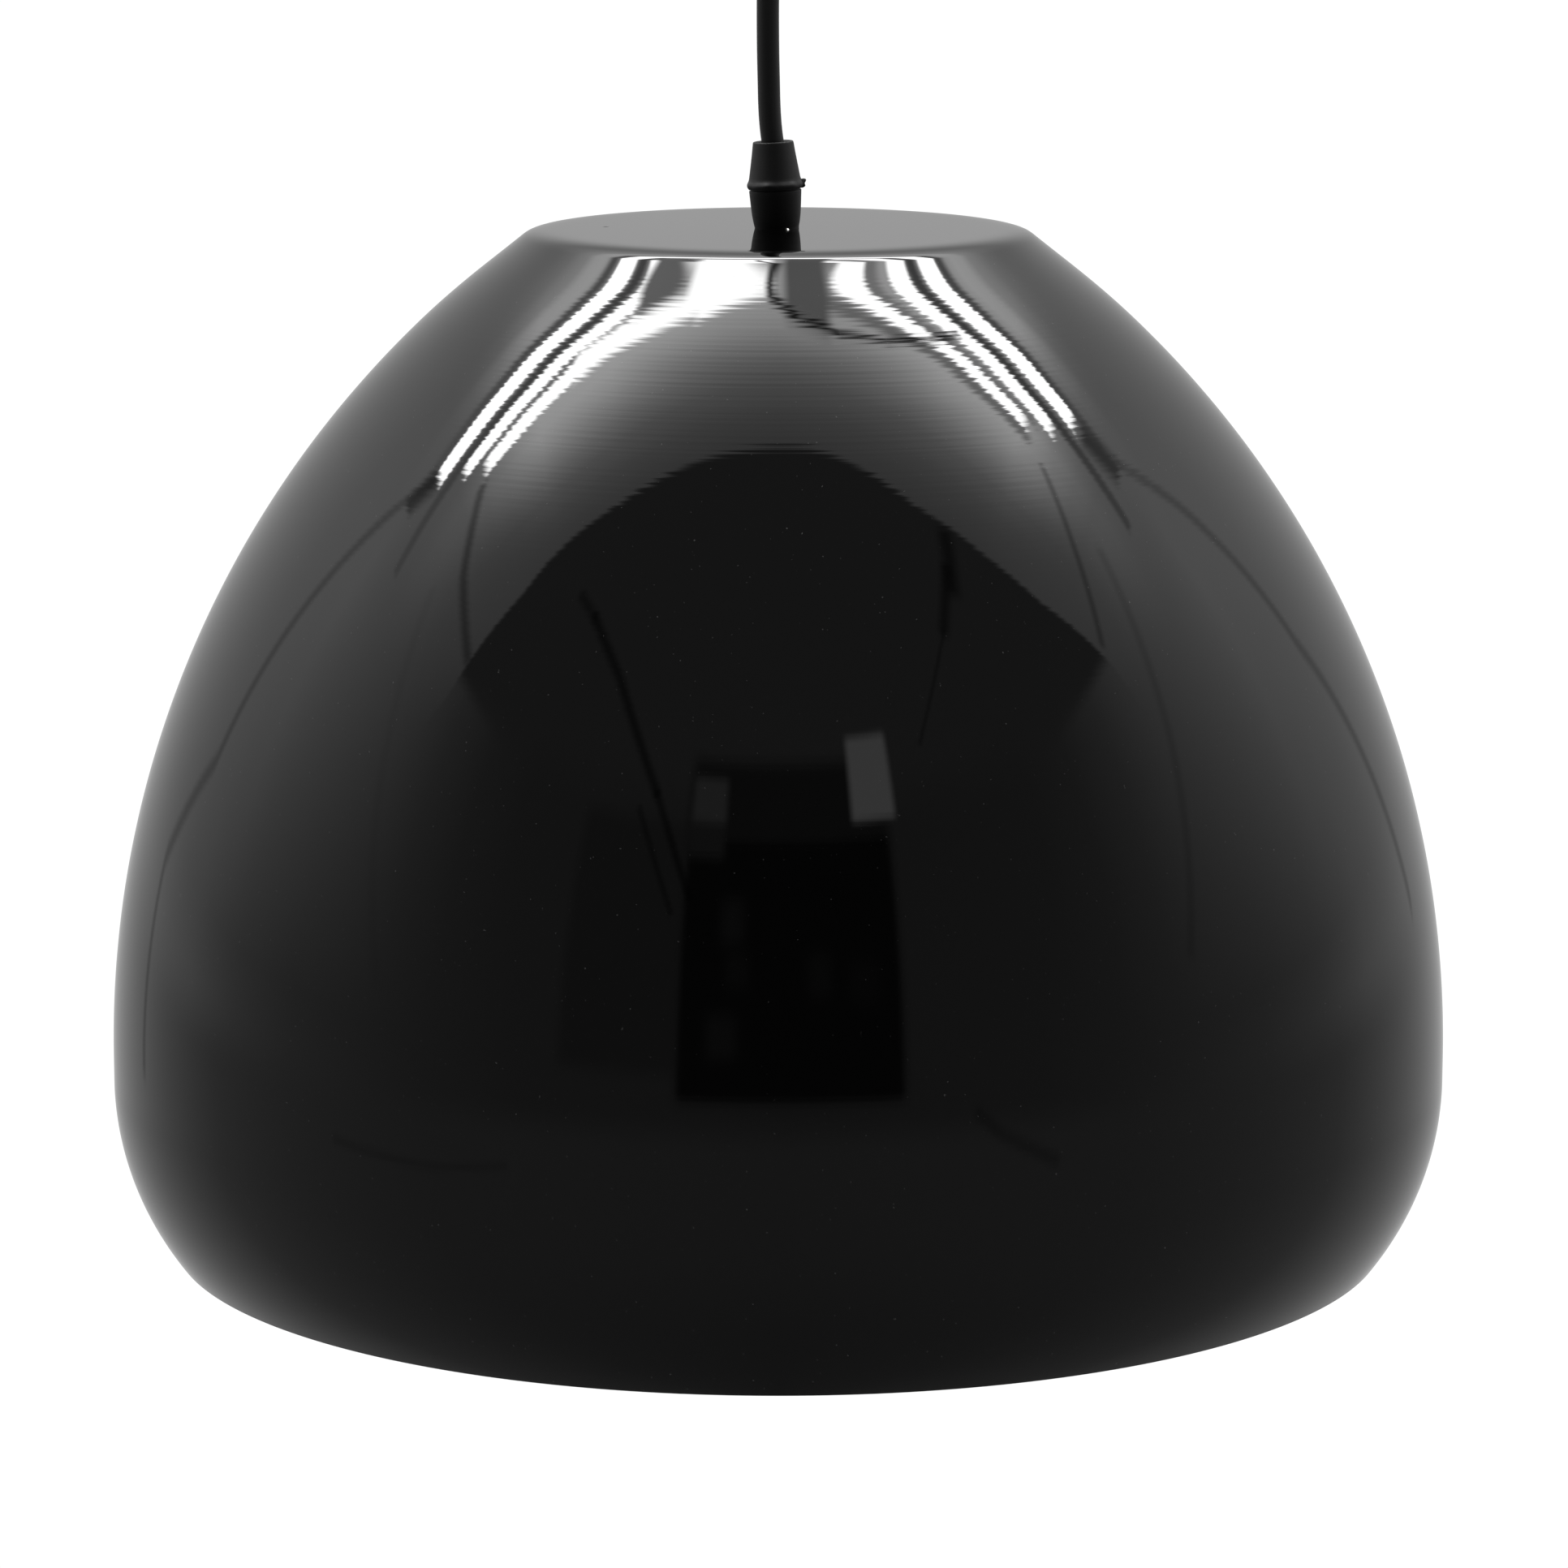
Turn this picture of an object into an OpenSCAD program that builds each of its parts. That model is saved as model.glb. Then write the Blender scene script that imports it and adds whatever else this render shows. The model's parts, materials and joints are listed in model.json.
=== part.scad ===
// Pendant ceiling light: a spun metal dome shade that hangs by its cord from a ceiling canopy.
// The origin is on the ceiling, midway between the two fixing slots. +Z points up, millimetres.

/* [Hanging] */
// Ceiling down to the flat top of the shade
drop = 152; // [148:1:158]
// Diameter of the sheathed cord
cord_d = 6.6; // [6.2:0.1:6.6]
// Lean of both cord grips from the vertical, in degrees
grip_lean = 2.5; // [0:0.5:3]

/* [Shade] */
// Largest diameter of the shade
shade_d = 400; // [380:5:420]
// Thickness of the spun sheet
sheet_t = 1; // [0.8:0.1:1.2]
// Radius of the rounded shoulder round the flat top
shoulder_r = 8.5; // [6:0.5:12]
// Slope of the dome where it leaves the shoulder, in degrees
shoulder_a = 35.6; // [30:0.1:40]
// Radius of the dome's arc, seen from the side
dome_r = 301; // [290:1:310]
// Height of the upright band at the widest place
band_h = 6.5; // [2:0.5:12]
// Radius of the arc that turns in below the band
rim_arc_r = 85; // [70:1:100]
// How far past upright the sheet turns in at the rim, in degrees
rim_a = 37; // [25:1:45]

/* [Cord grips] */
// Height of the grip's threaded body
grip_body_h = 11.6; // [11:0.1:12]
// Height of the grip's screw cap
cap_h = 12.4; // [11:0.1:13]
// Radius of the body's foot
foot_r = 6.6; // [6.3:0.1:7]
// Radius where body and cap meet
waist_r = 7.8; // [7.5:0.1:8]
// Radius of the cap's top
cap_top_r = 5.95; // [5.7:0.05:6.2]

/* [Lampholder and bulb] */
// Outer radius of the lampholder
holder_r = 20.5; // [20:0.5:24]
// Radius of the bulb's screw cap
bulb_cap_r = 13; // [12.9:0.1:13.1]
// Largest radius of the bulb's glass
glass_r = 30; // [27:1:32]
// Length of the bulb from its contact to the end of its glass
bulb_l = 105; // [100:1:110]

/* [Canopy] */
// Diameter of the canopy cup
cup_d = 100; // [96:2:110]
// Depth of the canopy cup
cup_h = 28; // [28:1:32]
// Distance between the two fixing slots
slot_pitch = 70; // [68:1:72]

/* [Hidden] */

// General fits
fine = 96;
gap = 0.3;
cut = 1;
cord_r = cord_d / 2;

// Shade: top flat, then shoulder, dome and rim arcs, each tangent to the next
shade_z = -drop;
shade_r = shade_d / 2;
flat_r = shade_r - shoulder_r * sin(shoulder_a) - dome_r * (1 - sin(shoulder_a));
shoulder_h = shoulder_r * (1 - cos(shoulder_a));
dome_h = dome_r * cos(shoulder_a);
shade_hole_r = 5.6;

// Threaded stems
nipple_r = 5;
nipple_bore_r = 3.75;
stem_clear_r = 5.4;

// Cord grip, measured up from its foot towards its mouth
grip_h = grip_body_h + gap + cap_h;
socket_h = 8;
neck_r = 5.9;
neck_top = grip_body_h + 5.4;
cap_bore_r = neck_r + 0.05;
cap_face = grip_h - 4.4;
mouth_depth = 2;
mouth_r = cap_top_r - 0.8;
throat_r = cord_r + 0.5;
lip_h = 1;
lip_r = waist_r + 0.5;
collet_r = 4.9;
collet_bore_r = cord_r + 0.15;
collet_low = grip_body_h + 0.6;
collet_h = 6.4;

// The lamp's grip leans about a point inside the lampholder's entry
lean_depth = 9;
foot_gap = 0.75;
pivot_h = grip_h - mouth_depth;

// Lampholder levels, down from the top of the shade
washer_t = 0.8;
nut_t = 2.5;
nut_r = 8.1;
nut_low = sheet_t + washer_t + nut_t;
holder_top = nut_low + 0.2;
entry_low = 12.5;
sheath_low = 14;
insert_top = 24;
insert_low = 36;
skirt_top = 26.3;
skirt_low = 58;
shell_top = 33;
shell_low = 56;
holder_wall = 2;
shell_r = bulb_cap_r + 0.5;
holder_pole_x = 10.2;
holder_screw_r = 1;

// Bulb levels, down from the top of the shade
bulb_top = 39;
insulator_top = bulb_top + 2;
bulb_cap_top = insulator_top + 3.5;
bulb_cap_low = bulb_cap_top + 21;
neck_glass_r = bulb_cap_r - 1;
glass_t = 0.8;
globe_z = bulb_top + bulb_l - glass_r;
filament_count = 4;
filament_x = 7;
press_low = bulb_cap_low + 20;

// Canopy levels, down from the ceiling
cup_r = cup_d / 2;
cup_t = 1.2;
cup_corner_r = 6;
strap_t = 1.5;
strap_w = 20;
ear_x = cup_r - cup_t - 0.6;
strap_x = ear_x - 1;
ear_w = 12;
ear_h = 13;
side_screw_z = -8;
slot_l = 12;
slot_r = 2.4;
supply_hole_r = 8;
canopy_sheath_top = -15;
canopy_nipple_top = -20;
canopy_foot = -cup_h - foot_gap;
canopy_lean_z = canopy_foot + 9;
earth_screw_x = -14;
block_x = 18.5;
block_l = 18;
block_w = 17;
block_t = 12;
pole_pitch = 8;
peg_r = 1;
clamp_y = 4.5;
clamp_hole_r = 1.6;
earth_screw_r = 1.4;
wire_z = -9;

// Free cord from the canopy's grip to the lamp's grip: [x, height above the shade's flat top]
cord_route = [[-1.3, 101], [-1.6, 98], [-2, 94], [-2.5, 89], [-2.8, 81], [-3, 70], [-3, 55],
    [-2.8, 44], [-2.5, 34], [-2.1, 29], [-1.7, 25.8], [-1.4, 23.1]];
ball_steps = 3;

// Core routes: [x, y, height above the shade's flat top] and [x, y, height above the ceiling]
core_r = 1.1;
live_route = [[-1.3, 0.8, -14.2], [-1.6, 0.8, -16.5], [-3.2, 0.5, -19.3], [-5.2, 0.2, -20.7],
    [-7.4, 0, -21]];
neutral_route = [[1.4, 0.8, -14.2], [1.7, 0.8, -16.5], [3.2, 0.5, -19.3], [5.2, 0.2, -20.7],
    [7.4, 0, -21]];
earth_route = [[0, -1.6, -14.2], [0, -2, -16.5], [0, -4, -18.5], [0, -7, -19], [0, -9.5, -17.5],
    [0, -10.5, -14]];
canopy_live_route = [[0.8, -1.3, -14.8], [0.8, -1.6, -12.5], [1.2, -3.5, -10], [3, -8, -9.3],
    [6, -12.5, -9], [10, -14, -9], [13.5, -13, -9], [14.5, -10, -9], [14.5, -6, -9]];
canopy_neutral_route = [[0.8, 1.3, -14.8], [0.8, 1.6, -12.5], [1.2, 3.5, -10], [3, 8, -9.3],
    [6, 12.5, -9], [12, 15, -9], [18, 15, -9], [21.5, 13, -9], [22.5, 10, -9], [22.5, 6, -9]];
canopy_earth_route = [[-1.6, 0, -14.8], [-1.8, 0, -12.5], [-2.8, 0, -9], [-4.5, 0, -6],
    [-6.8, 0, -4.1], [-10, 0, -3.6]];

// Points along an arc that starts at [r, z], heading start_a below level, and turns by sweep
function arc_points(r, z, arc_r, start_a, sweep, n) =
    [for (i = [0:n])
        let (a = start_a + sweep * i / n)
        [r + arc_r * (sin(a) - sin(start_a)), z - arc_r * (cos(start_a) - cos(a))]];

// The shade's outline in section, moved inwards by t
function shade_side(t) = concat(
    arc_points(flat_r, -t, shoulder_r - t, 0, shoulder_a, 8),
    arc_points(shade_r - dome_r + (dome_r - t) * sin(shoulder_a),
        -shoulder_h - t * cos(shoulder_a), dome_r - t, shoulder_a, 90 - shoulder_a, 28),
    arc_points(shade_r - t, -shoulder_h - dome_h - band_h, rim_arc_r - t, 90, rim_a, 12));

// One ring of a tube, centred on c and square to direction d; side is any vector across d
function ring(c, d, side, r, n) =
    let (
        w = d / norm(d),
        u0 = cross(w, side),
        u = u0 / norm(u0),
        v = cross(w, u)
    )
    [for (k = [0:n - 1]) c + r * cos(360 * k / n) * u + r * sin(360 * k / n) * v];

// Direction of a route at its point i
function heading(p, i) = p[min(i + 1, len(p) - 1)] - p[max(i - 1, 0)];

// Closed tube through the rings
module skin(rings, n) {
    last = len(rings) - 1;
    polyhedron(
        points = [for (g = rings) each g],
        faces = concat(
            [[for (k = [0:n - 1]) k]],
            [for (j = [0:last - 1], k = [0:n - 1])
                each [
                    [j * n + k, (j + 1) * n + k, j * n + (k + 1) % n],
                    [j * n + (k + 1) % n, (j + 1) * n + k, (j + 1) * n + (k + 1) % n]
                ]],
            [[for (k = [0:n - 1]) last * n + n - 1 - k]]));
}

module tube(route, r, side, n) {
    skin([for (i = [0:len(route) - 1]) ring(route[i], heading(route, i), side, r, n)], n);
}

module disc(r, bore, z_low, z_high, sides = fine) {
    difference() {
        translate([0, 0, z_low]) cylinder(h = z_high - z_low, r = r, $fn = sides);
        translate([0, 0, z_low - cut]) cylinder(h = z_high - z_low + 2 * cut, r = bore, $fn = fine);
    }
}

// A pan-head screw that points along -Z from the underside of its head at the origin
module screw(shank_r, shank_l, head_r, head_h) {
    slot_w = head_h * 0.4;
    slot_z = head_h * 0.6;
    difference() {
        union() {
            cylinder(h = head_h, r = head_r, $fn = fine);
            translate([0, 0, -shank_l]) cylinder(h = shank_l + head_h / 2, r = shank_r, $fn = fine);
        }
        translate([-head_r, -slot_w / 2, slot_z]) cube([2 * head_r, slot_w, head_h]);
    }
}

// Cord grip pieces, standing on z = 0 with the mouth up
module grip_body_shape() {
    color("#1a1a1a") difference() {
        union() {
            cylinder(h = grip_body_h, r1 = foot_r, r2 = waist_r, $fn = fine);
            cylinder(h = neck_top, r = neck_r, $fn = fine);
        }
        translate([0, 0, -cut]) cylinder(h = socket_h + cut, r = nipple_r + 0.05, $fn = fine);
        translate([0, 0, socket_h - cut])
            cylinder(h = grip_h, r = cord_r + gap, $fn = fine);
        translate([0, 0, collet_low - gap])
            cylinder(h = grip_h, r = collet_r + 0.1, $fn = fine);
    }
}

module grip_collet_shape() {
    slit_w = 0.8;
    slit_low = collet_low + 1.6;
    color("#e8e8e4") difference() {
        disc(collet_r, collet_bore_r, collet_low, collet_low + collet_h);
        for (a = [0, 60, 120]) {
            rotate([0, 0, a]) translate([-collet_r - cut, -slit_w / 2, slit_low])
                cube([2 * (collet_r + cut), slit_w, collet_h]);
        }
    }
}

module grip_cap_shape() {
    cap_low = grip_h - cap_h;
    color("#202020") rotate_extrude($fn = fine)
        polygon([
            [cap_bore_r, cap_low], [lip_r, cap_low], [lip_r, cap_low + lip_h * 0.6],
            [waist_r - 0.1, cap_low + lip_h], [cap_top_r, grip_h - 0.3],
            [cap_top_r - 0.3, grip_h], [mouth_r, grip_h], [throat_r, pivot_h],
            [throat_r, cap_face], [cap_bore_r, cap_face]
        ]);
}

// Place children, made standing on z = 0, as the lamp's grip: foot on the shade, leaning
module on_lamp() {
    translate([0, 0, shade_z - lean_depth]) rotate([0, -grip_lean, 0])
        translate([0, 0, lean_depth + foot_gap]) children();
}

// Place the same children hanging mouth down from the canopy, leaning the same way
module on_canopy() {
    translate([0, 0, canopy_lean_z]) rotate([0, grip_lean, 0])
        translate([0, 0, canopy_foot - canopy_lean_z]) mirror([0, 0, 1]) children();
}

module ceiling_bracket() {
    color("#b8b8b4") difference() {
        union() {
            translate([-strap_x, -strap_w / 2, -strap_t]) cube([2 * strap_x, strap_w, strap_t]);
            for (s = [-1, 1]) {
                translate([s > 0 ? ear_x - strap_t : -ear_x, -ear_w / 2, -ear_h])
                    cube([strap_t, ear_w, ear_h - strap_t / 2]);
            }
        }
        translate([0, 0, -strap_t - cut])
            cylinder(h = strap_t + 2 * cut, r = supply_hole_r, $fn = fine);
        for (s = [-1, 1], e = [-1, 1]) {
            translate([s * slot_pitch / 2 + e * (slot_l / 2 - slot_r), 0, -strap_t - cut])
                cylinder(h = strap_t + 2 * cut, r = slot_r, $fn = fine);
        }
        for (s = [-1, 1]) {
            translate([s * slot_pitch / 2 - slot_l / 2 + slot_r, -slot_r, -strap_t - cut])
                cube([slot_l - 2 * slot_r, 2 * slot_r, strap_t + 2 * cut]);
        }
        translate([-ear_x - cut, 0, side_screw_z]) rotate([0, 90, 0])
            cylinder(h = 2 * (ear_x + cut), r = 1.95, $fn = fine);
        translate([earth_screw_x, 0, -strap_t - cut])
            cylinder(h = strap_t + 2 * cut, r = earth_screw_r + 0.1, $fn = fine);
        for (e = [-1, 1]) {
            translate([block_x + e * pole_pitch / 2, 0, -strap_t - cut])
                cylinder(h = strap_t + 2 * cut, r = peg_r + 0.05, $fn = fine);
        }
    }
}

module bracket_earth_screw() {
    tag_t = 0.75;
    tag_r = 3.2;
    tag_l = 6;
    tag_w = 2.4;
    head_r = 2.6;
    head_h = 1.6;
    shank_l = 2.2;
    tag_z = -strap_t - tag_t - 0.05;
    color("#c9a54a") translate([earth_screw_x, 0, tag_z]) {
        mirror([0, 0, 1]) screw(earth_screw_r, shank_l, head_r, head_h);
        difference() {
            union() {
                cylinder(h = tag_t, r = tag_r, $fn = fine);
                translate([0, -tag_w / 2, 0]) cube([tag_l, tag_w, tag_t]);
            }
            translate([0, 0, -cut]) cylinder(h = tag_t + 2 * cut, r = earth_screw_r + 0.05, $fn = fine);
        }
    }
}

module canopy_cup() {
    inner_r = cup_r - cup_t;
    inner_corner_r = cup_corner_r - cup_t;
    color("#141414") difference() {
        rotate_extrude($fn = fine * 2) difference() {
            union() {
                translate([0, -cup_h]) square([cup_r - cup_corner_r, cup_h - 0.5]);
                translate([0, -cup_h + cup_corner_r]) square([cup_r, cup_h - cup_corner_r - 0.5]);
                translate([cup_r - cup_corner_r, -cup_h + cup_corner_r])
                    circle(r = cup_corner_r, $fn = fine);
            }
            translate([0, -cup_h + cup_t]) square([inner_r - inner_corner_r, cup_h]);
            translate([0, -cup_h + cup_corner_r]) square([inner_r, cup_h]);
            translate([inner_r - inner_corner_r, -cup_h + cup_corner_r])
                circle(r = inner_corner_r, $fn = fine);
            translate([-cup_r, -cup_h - cut]) square([cup_r, cup_h + 2 * cut]);
        }
        translate([0, 0, -cup_h - cut]) cylinder(h = cup_t + 2 * cut, r = shade_hole_r, $fn = fine);
        translate([-cup_r - cut, 0, side_screw_z]) rotate([0, 90, 0])
            cylinder(h = 2 * (cup_r + cut), r = 2.2, $fn = fine);
    }
}

module canopy_side_screws() {
    shank_r = 1.9;
    shank_l = 6;
    head_r = 3.4;
    head_h = 2;
    color("#c8c8c8") for (s = [0, 180]) {
        rotate([0, 0, s]) translate([cup_r, 0, side_screw_z]) rotate([0, 90, 0])
            screw(shank_r, shank_l, head_r, head_h);
    }
}

module terminal_block() {
    low = -strap_t - block_t;
    wire_r = 1.8;
    groove_w = 1.6;
    groove_h = 4;
    color("#ececea") {
        difference() {
            translate([block_x - block_l / 2, -block_w / 2, low])
                cube([block_l, block_w, block_t - 0.05]);
            for (s = [-1, 1]) {
                translate([block_x + s * pole_pitch / 2, -block_w / 2 - cut, wire_z]) rotate([-90, 0, 0])
                    cylinder(h = block_w + 2 * cut, r = wire_r, $fn = fine);
                for (e = [-1, 1]) {
                    translate([block_x + s * pole_pitch / 2, e * clamp_y, low - cut])
                        cylinder(h = wire_z - low + cut, r = clamp_hole_r, $fn = fine);
                }
            }
            translate([block_x - groove_w / 2, -block_w / 2 - cut, low - cut])
                cube([groove_w, block_w + 2 * cut, groove_h]);
        }
        for (s = [-1, 1]) {
            translate([block_x + s * pole_pitch / 2, 0, -strap_t - cut])
                cylinder(h = strap_t + cut - 0.1, r = peg_r, $fn = fine);
        }
    }
}

module terminal_screws() {
    tube_l = 7;
    tube_r = 1.7;
    tube_bore_r = 1.25;
    shank_r = 1;
    shank_l = 1.6;
    head_r = 1.4;
    head_h = 1.2;
    head_drop = 3;
    color("#c9a54a") for (s = [-1, 1]) {
        translate([block_x + s * pole_pitch / 2, 0, wire_z]) {
            for (e = [-1, 1]) {
                translate([0, e * clamp_y, -head_drop]) mirror([0, 0, 1])
                    screw(shank_r, shank_l, head_r, head_h);
            }
            rotate([90, 0, 0]) difference() {
                cylinder(h = tube_l, r = tube_r, center = true, $fn = fine);
                cylinder(h = tube_l + 2 * cut, r = tube_bore_r, center = true, $fn = fine);
            }
        }
    }
}

module canopy_nipple() {
    color("#b8b8b4") on_canopy() disc(nipple_r, nipple_bore_r,
        canopy_foot - canopy_nipple_top, socket_h - 0.4);
}

module canopy_nut() {
    color("#b8b8b4") disc(nut_r, stem_clear_r, -cup_h + cup_t, -cup_h + cup_t + nut_t, 6);
}

module canopy_grip_body() {
    on_canopy() grip_body_shape();
}

module canopy_grip_collet() {
    on_canopy() grip_collet_shape();
}

module canopy_grip_cap() {
    on_canopy() grip_cap_shape();
}

module canopy_cord_end() {
    sheath_l = -canopy_foot + canopy_sheath_top;
    color("#262626") on_canopy() translate([0, 0, -sheath_l])
        cylinder(h = sheath_l + pivot_h - cord_r - gap, r = cord_r, $fn = fine);
}

module canopy_core_live() {
    color("#5b3a24") tube(canopy_live_route, core_r, [0, 0, 1] + [0.3, 0.2, 0], 8);
}

module canopy_core_neutral() {
    color("#2f5f9e") tube(canopy_neutral_route, core_r, [0, 0, 1] + [0.3, -0.2, 0], 8);
}

module canopy_core_earth() {
    color("#5f9e3a") tube(canopy_earth_route, core_r, [0, 1, 0], 8);
}

// The free cord: a tube along its route, with a ball end turning inside each grip's mouth
module cord() {
    sides = 12;
    ball_step_a = 25;
    side = [0, 1, 0];
    p = [for (q = cord_route) [q[0], 0, shade_z + q[1]]];
    last = len(p) - 1;
    first_way = (p[0] - p[1]) / norm(p[0] - p[1]);
    last_way = (p[last] - p[last - 1]) / norm(p[last] - p[last - 1]);
    function bulge(i) = cord_r * sin(ball_step_a * i);
    function waist(i) = cord_r * cos(ball_step_a * i);
    color("#262626") skin(concat(
        [for (i = [ball_steps:-1:1])
            ring(p[0] + bulge(i) * first_way, -first_way, side, waist(i), sides)],
        [for (i = [0:last]) ring(p[i], heading(p, i), side, cord_r, sides)],
        [for (i = [1:ball_steps])
            ring(p[last] + bulge(i) * last_way, last_way, side, waist(i), sides)]), sides);
}

module shade() {
    outer = shade_side(0);
    inner = shade_side(sheet_t);
    inner_back = [for (i = [len(inner) - 1:-1:0]) inner[i]];
    color("#101010") translate([0, 0, shade_z]) rotate_extrude($fn = fine * 2)
        polygon(concat([[shade_hole_r, -sheet_t], [shade_hole_r, 0]], outer, inner_back));
}

module top_washer() {
    color("#c8c8c8") translate([0, 0, shade_z])
        disc(foot_r - 0.2, stem_clear_r + 0.1, 0, foot_gap - 0.35);
}

module grip_body() {
    on_lamp() grip_body_shape();
}

module grip_collet() {
    on_lamp() grip_collet_shape();
}

module grip_cap() {
    on_lamp() grip_cap_shape();
}

module nipple() {
    color("#b8b8b4") on_lamp() disc(nipple_r, nipple_bore_r, -entry_low - foot_gap + 0.3,
        socket_h - 0.4);
}

module lock_washer() {
    washer_r = 9;
    tooth_r = 7.8;
    tooth_w = 1.2;
    color("#c8c8c8") translate([0, 0, shade_z]) difference() {
        disc(washer_r, stem_clear_r + 0.1, -sheet_t - washer_t, -sheet_t);
        for (a = [0:30:330]) {
            rotate([0, 0, a]) translate([tooth_r, -tooth_w / 2, -sheet_t - washer_t - cut])
                cube([washer_r, tooth_w, washer_t + 2 * cut]);
        }
    }
}

module hex_nut() {
    color("#b8b8b4") translate([0, 0, shade_z])
        disc(nut_r, stem_clear_r, -nut_low, -nut_low + nut_t, 6);
}

module holder_cap() {
    inner_r = holder_r - holder_wall;
    boss_r = 9.5;
    boss_h = 3;
    crown_r = 11.5;
    color("#1a1a1a") translate([0, 0, shade_z]) rotate_extrude($fn = fine)
        polygon(concat(
            [[stem_clear_r, -entry_low], [stem_clear_r, -holder_top], [boss_r - 0.5, -holder_top],
                [boss_r, -holder_top - 0.5], [boss_r, -holder_top - boss_h]],
            arc_points(crown_r, -holder_top - boss_h - 1, holder_r - crown_r, 0, 90, 8),
            [[holder_r, -skirt_top + gap], [inner_r, -skirt_top + gap],
                [inner_r, -entry_low - 2], [inner_r - 2, -entry_low]]));
}

module holder_skirt() {
    inner_r = holder_r - holder_wall;
    bore_r = inner_r - 2.2;
    spigot_r = inner_r - 0.2;
    spigot_top = skirt_top - 1.8;
    grip_band_low = skirt_top + 6;
    lip_bore_r = shell_r + 1.4;
    lip_top = skirt_low - 2;
    color("#1a1a1a") translate([0, 0, shade_z]) rotate_extrude($fn = fine)
        polygon([
            [bore_r, -spigot_top], [spigot_r, -spigot_top],
            [spigot_r, -skirt_top], [holder_r, -skirt_top],
            [holder_r, -grip_band_low], [holder_r - 1, -grip_band_low - 1.5],
            [holder_r - 1.8, -skirt_low + 1], [holder_r - 2.8, -skirt_low],
            [lip_bore_r, -skirt_low], [lip_bore_r, -lip_top],
            [bore_r, -lip_top]
        ]);
}

module holder_insert() {
    insert_r = holder_r - holder_wall - 2.4;
    rivet_bore_r = 1.5;
    screw_x = 11;
    screw_hole_r = 1.2;
    color("#f0efe8") translate([0, 0, shade_z]) difference() {
        disc(insert_r, rivet_bore_r, -insert_low, -insert_top);
        translate([0, 0, -insert_low - cut])
            cylinder(h = insert_low - shell_top + cut, r = shell_r + 0.8, $fn = fine);
        for (s = [-1, 1]) {
            translate([s * screw_x, 0, -shell_top - cut])
                cylinder(h = shell_top - insert_top + 2 * cut, r = screw_hole_r, $fn = fine);
        }
    }
}

module screw_shell() {
    wall = 0.5;
    notch_w = 6;
    notch_h = 4;
    flange_bore_r = 8;
    flange_t = 0.6;
    color("#d0b060") translate([0, 0, shade_z]) difference() {
        disc(shell_r + wall, shell_r, -shell_low, -shell_top - 0.1);
        for (a = [60, 240]) {
            rotate([0, 0, a]) translate([shell_r - cut, -notch_w / 2, -shell_top - notch_h])
                cube([wall + 2 * cut, notch_w, notch_h + cut]);
        }
    }
    color("#d0b060") translate([0, 0, shade_z - shell_top - 0.7])
        disc(shell_r, flange_bore_r, 0, flange_t);
}

module centre_contact() {
    leaf_w = 6;
    color("#d0b060") translate([0, leaf_w / 2, shade_z]) rotate([90, 0, 0])
        linear_extrude(height = leaf_w)
        polygon([[-6.5, -33.1], [0, -33.1], [0, -33.7], [-5.2, -33.7], [0.5, -36.6],
            [2.5, -36.6], [3.8, -35.8], [4.2, -36.2], [2.8, -37.2], [0.4, -37.2]]);
}

module holder_terminals() {
    block = [5.4, 6, 6];
    bore_z = -21;
    bore_r = 1.3;
    color("#c9a54a") translate([0, 0, shade_z]) for (s = [-1, 1]) {
        difference() {
            translate([s * holder_pole_x - block[0] / 2, -block[1] / 2, -insert_top + 0.05]) cube(block);
            translate([s * holder_pole_x - block[0] / 2 - cut, 0, bore_z]) rotate([0, 90, 0])
                cylinder(h = block[0] + 2 * cut, r = bore_r, $fn = fine);
            translate([s * holder_pole_x, 0, bore_z + 1])
                cylinder(h = 4, r = holder_screw_r + 0.05, $fn = fine);
        }
    }
}

module holder_terminal_screws() {
    shank_l = 1.6;
    head_r = 1.9;
    head_h = 1.4;
    head_z = -insert_top + 6.4;
    color("#d8d8d4") translate([0, 0, shade_z]) for (s = [-1, 1]) {
        translate([s * holder_pole_x, 0, head_z]) screw(holder_screw_r, shank_l, head_r, head_h);
    }
}

module holder_earth_tag() {
    tag_r = 8;
    tag_t = 0.65;
    tongue_w = 3.6;
    tongue_l = 6;
    tongue_reach = 12.5;
    tag_z = -entry_low - 0.7;
    color("#c9a54a") translate([0, 0, shade_z]) difference() {
        union() {
            disc(tag_r, stem_clear_r, tag_z, tag_z + tag_t);
            translate([-tongue_w / 2, -tongue_reach, tag_z]) cube([tongue_w, tongue_l, tag_t]);
        }
        translate([0, 0, tag_z - cut]) cylinder(h = tag_t + 2 * cut, r = stem_clear_r, $fn = fine);
    }
}

module lamp_cord_end() {
    sheath_l = sheath_low + foot_gap;
    color("#262626") on_lamp() translate([0, 0, -sheath_l])
        cylinder(h = sheath_l + pivot_h - cord_r - gap, r = cord_r, $fn = fine);
}

module lamp_core(route, side) {
    tube([for (q = route) [q[0], q[1], shade_z + q[2]]], core_r, side, 8);
}

module core_live() {
    color("#5b3a24") lamp_core(live_route, [0, 1, 0]);
}

module core_neutral() {
    color("#2f5f9e") lamp_core(neutral_route, [0, 1, 0]);
}

module core_earth() {
    color("#5f9e3a") lamp_core(earth_route, [1, 0, 0]);
}

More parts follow.
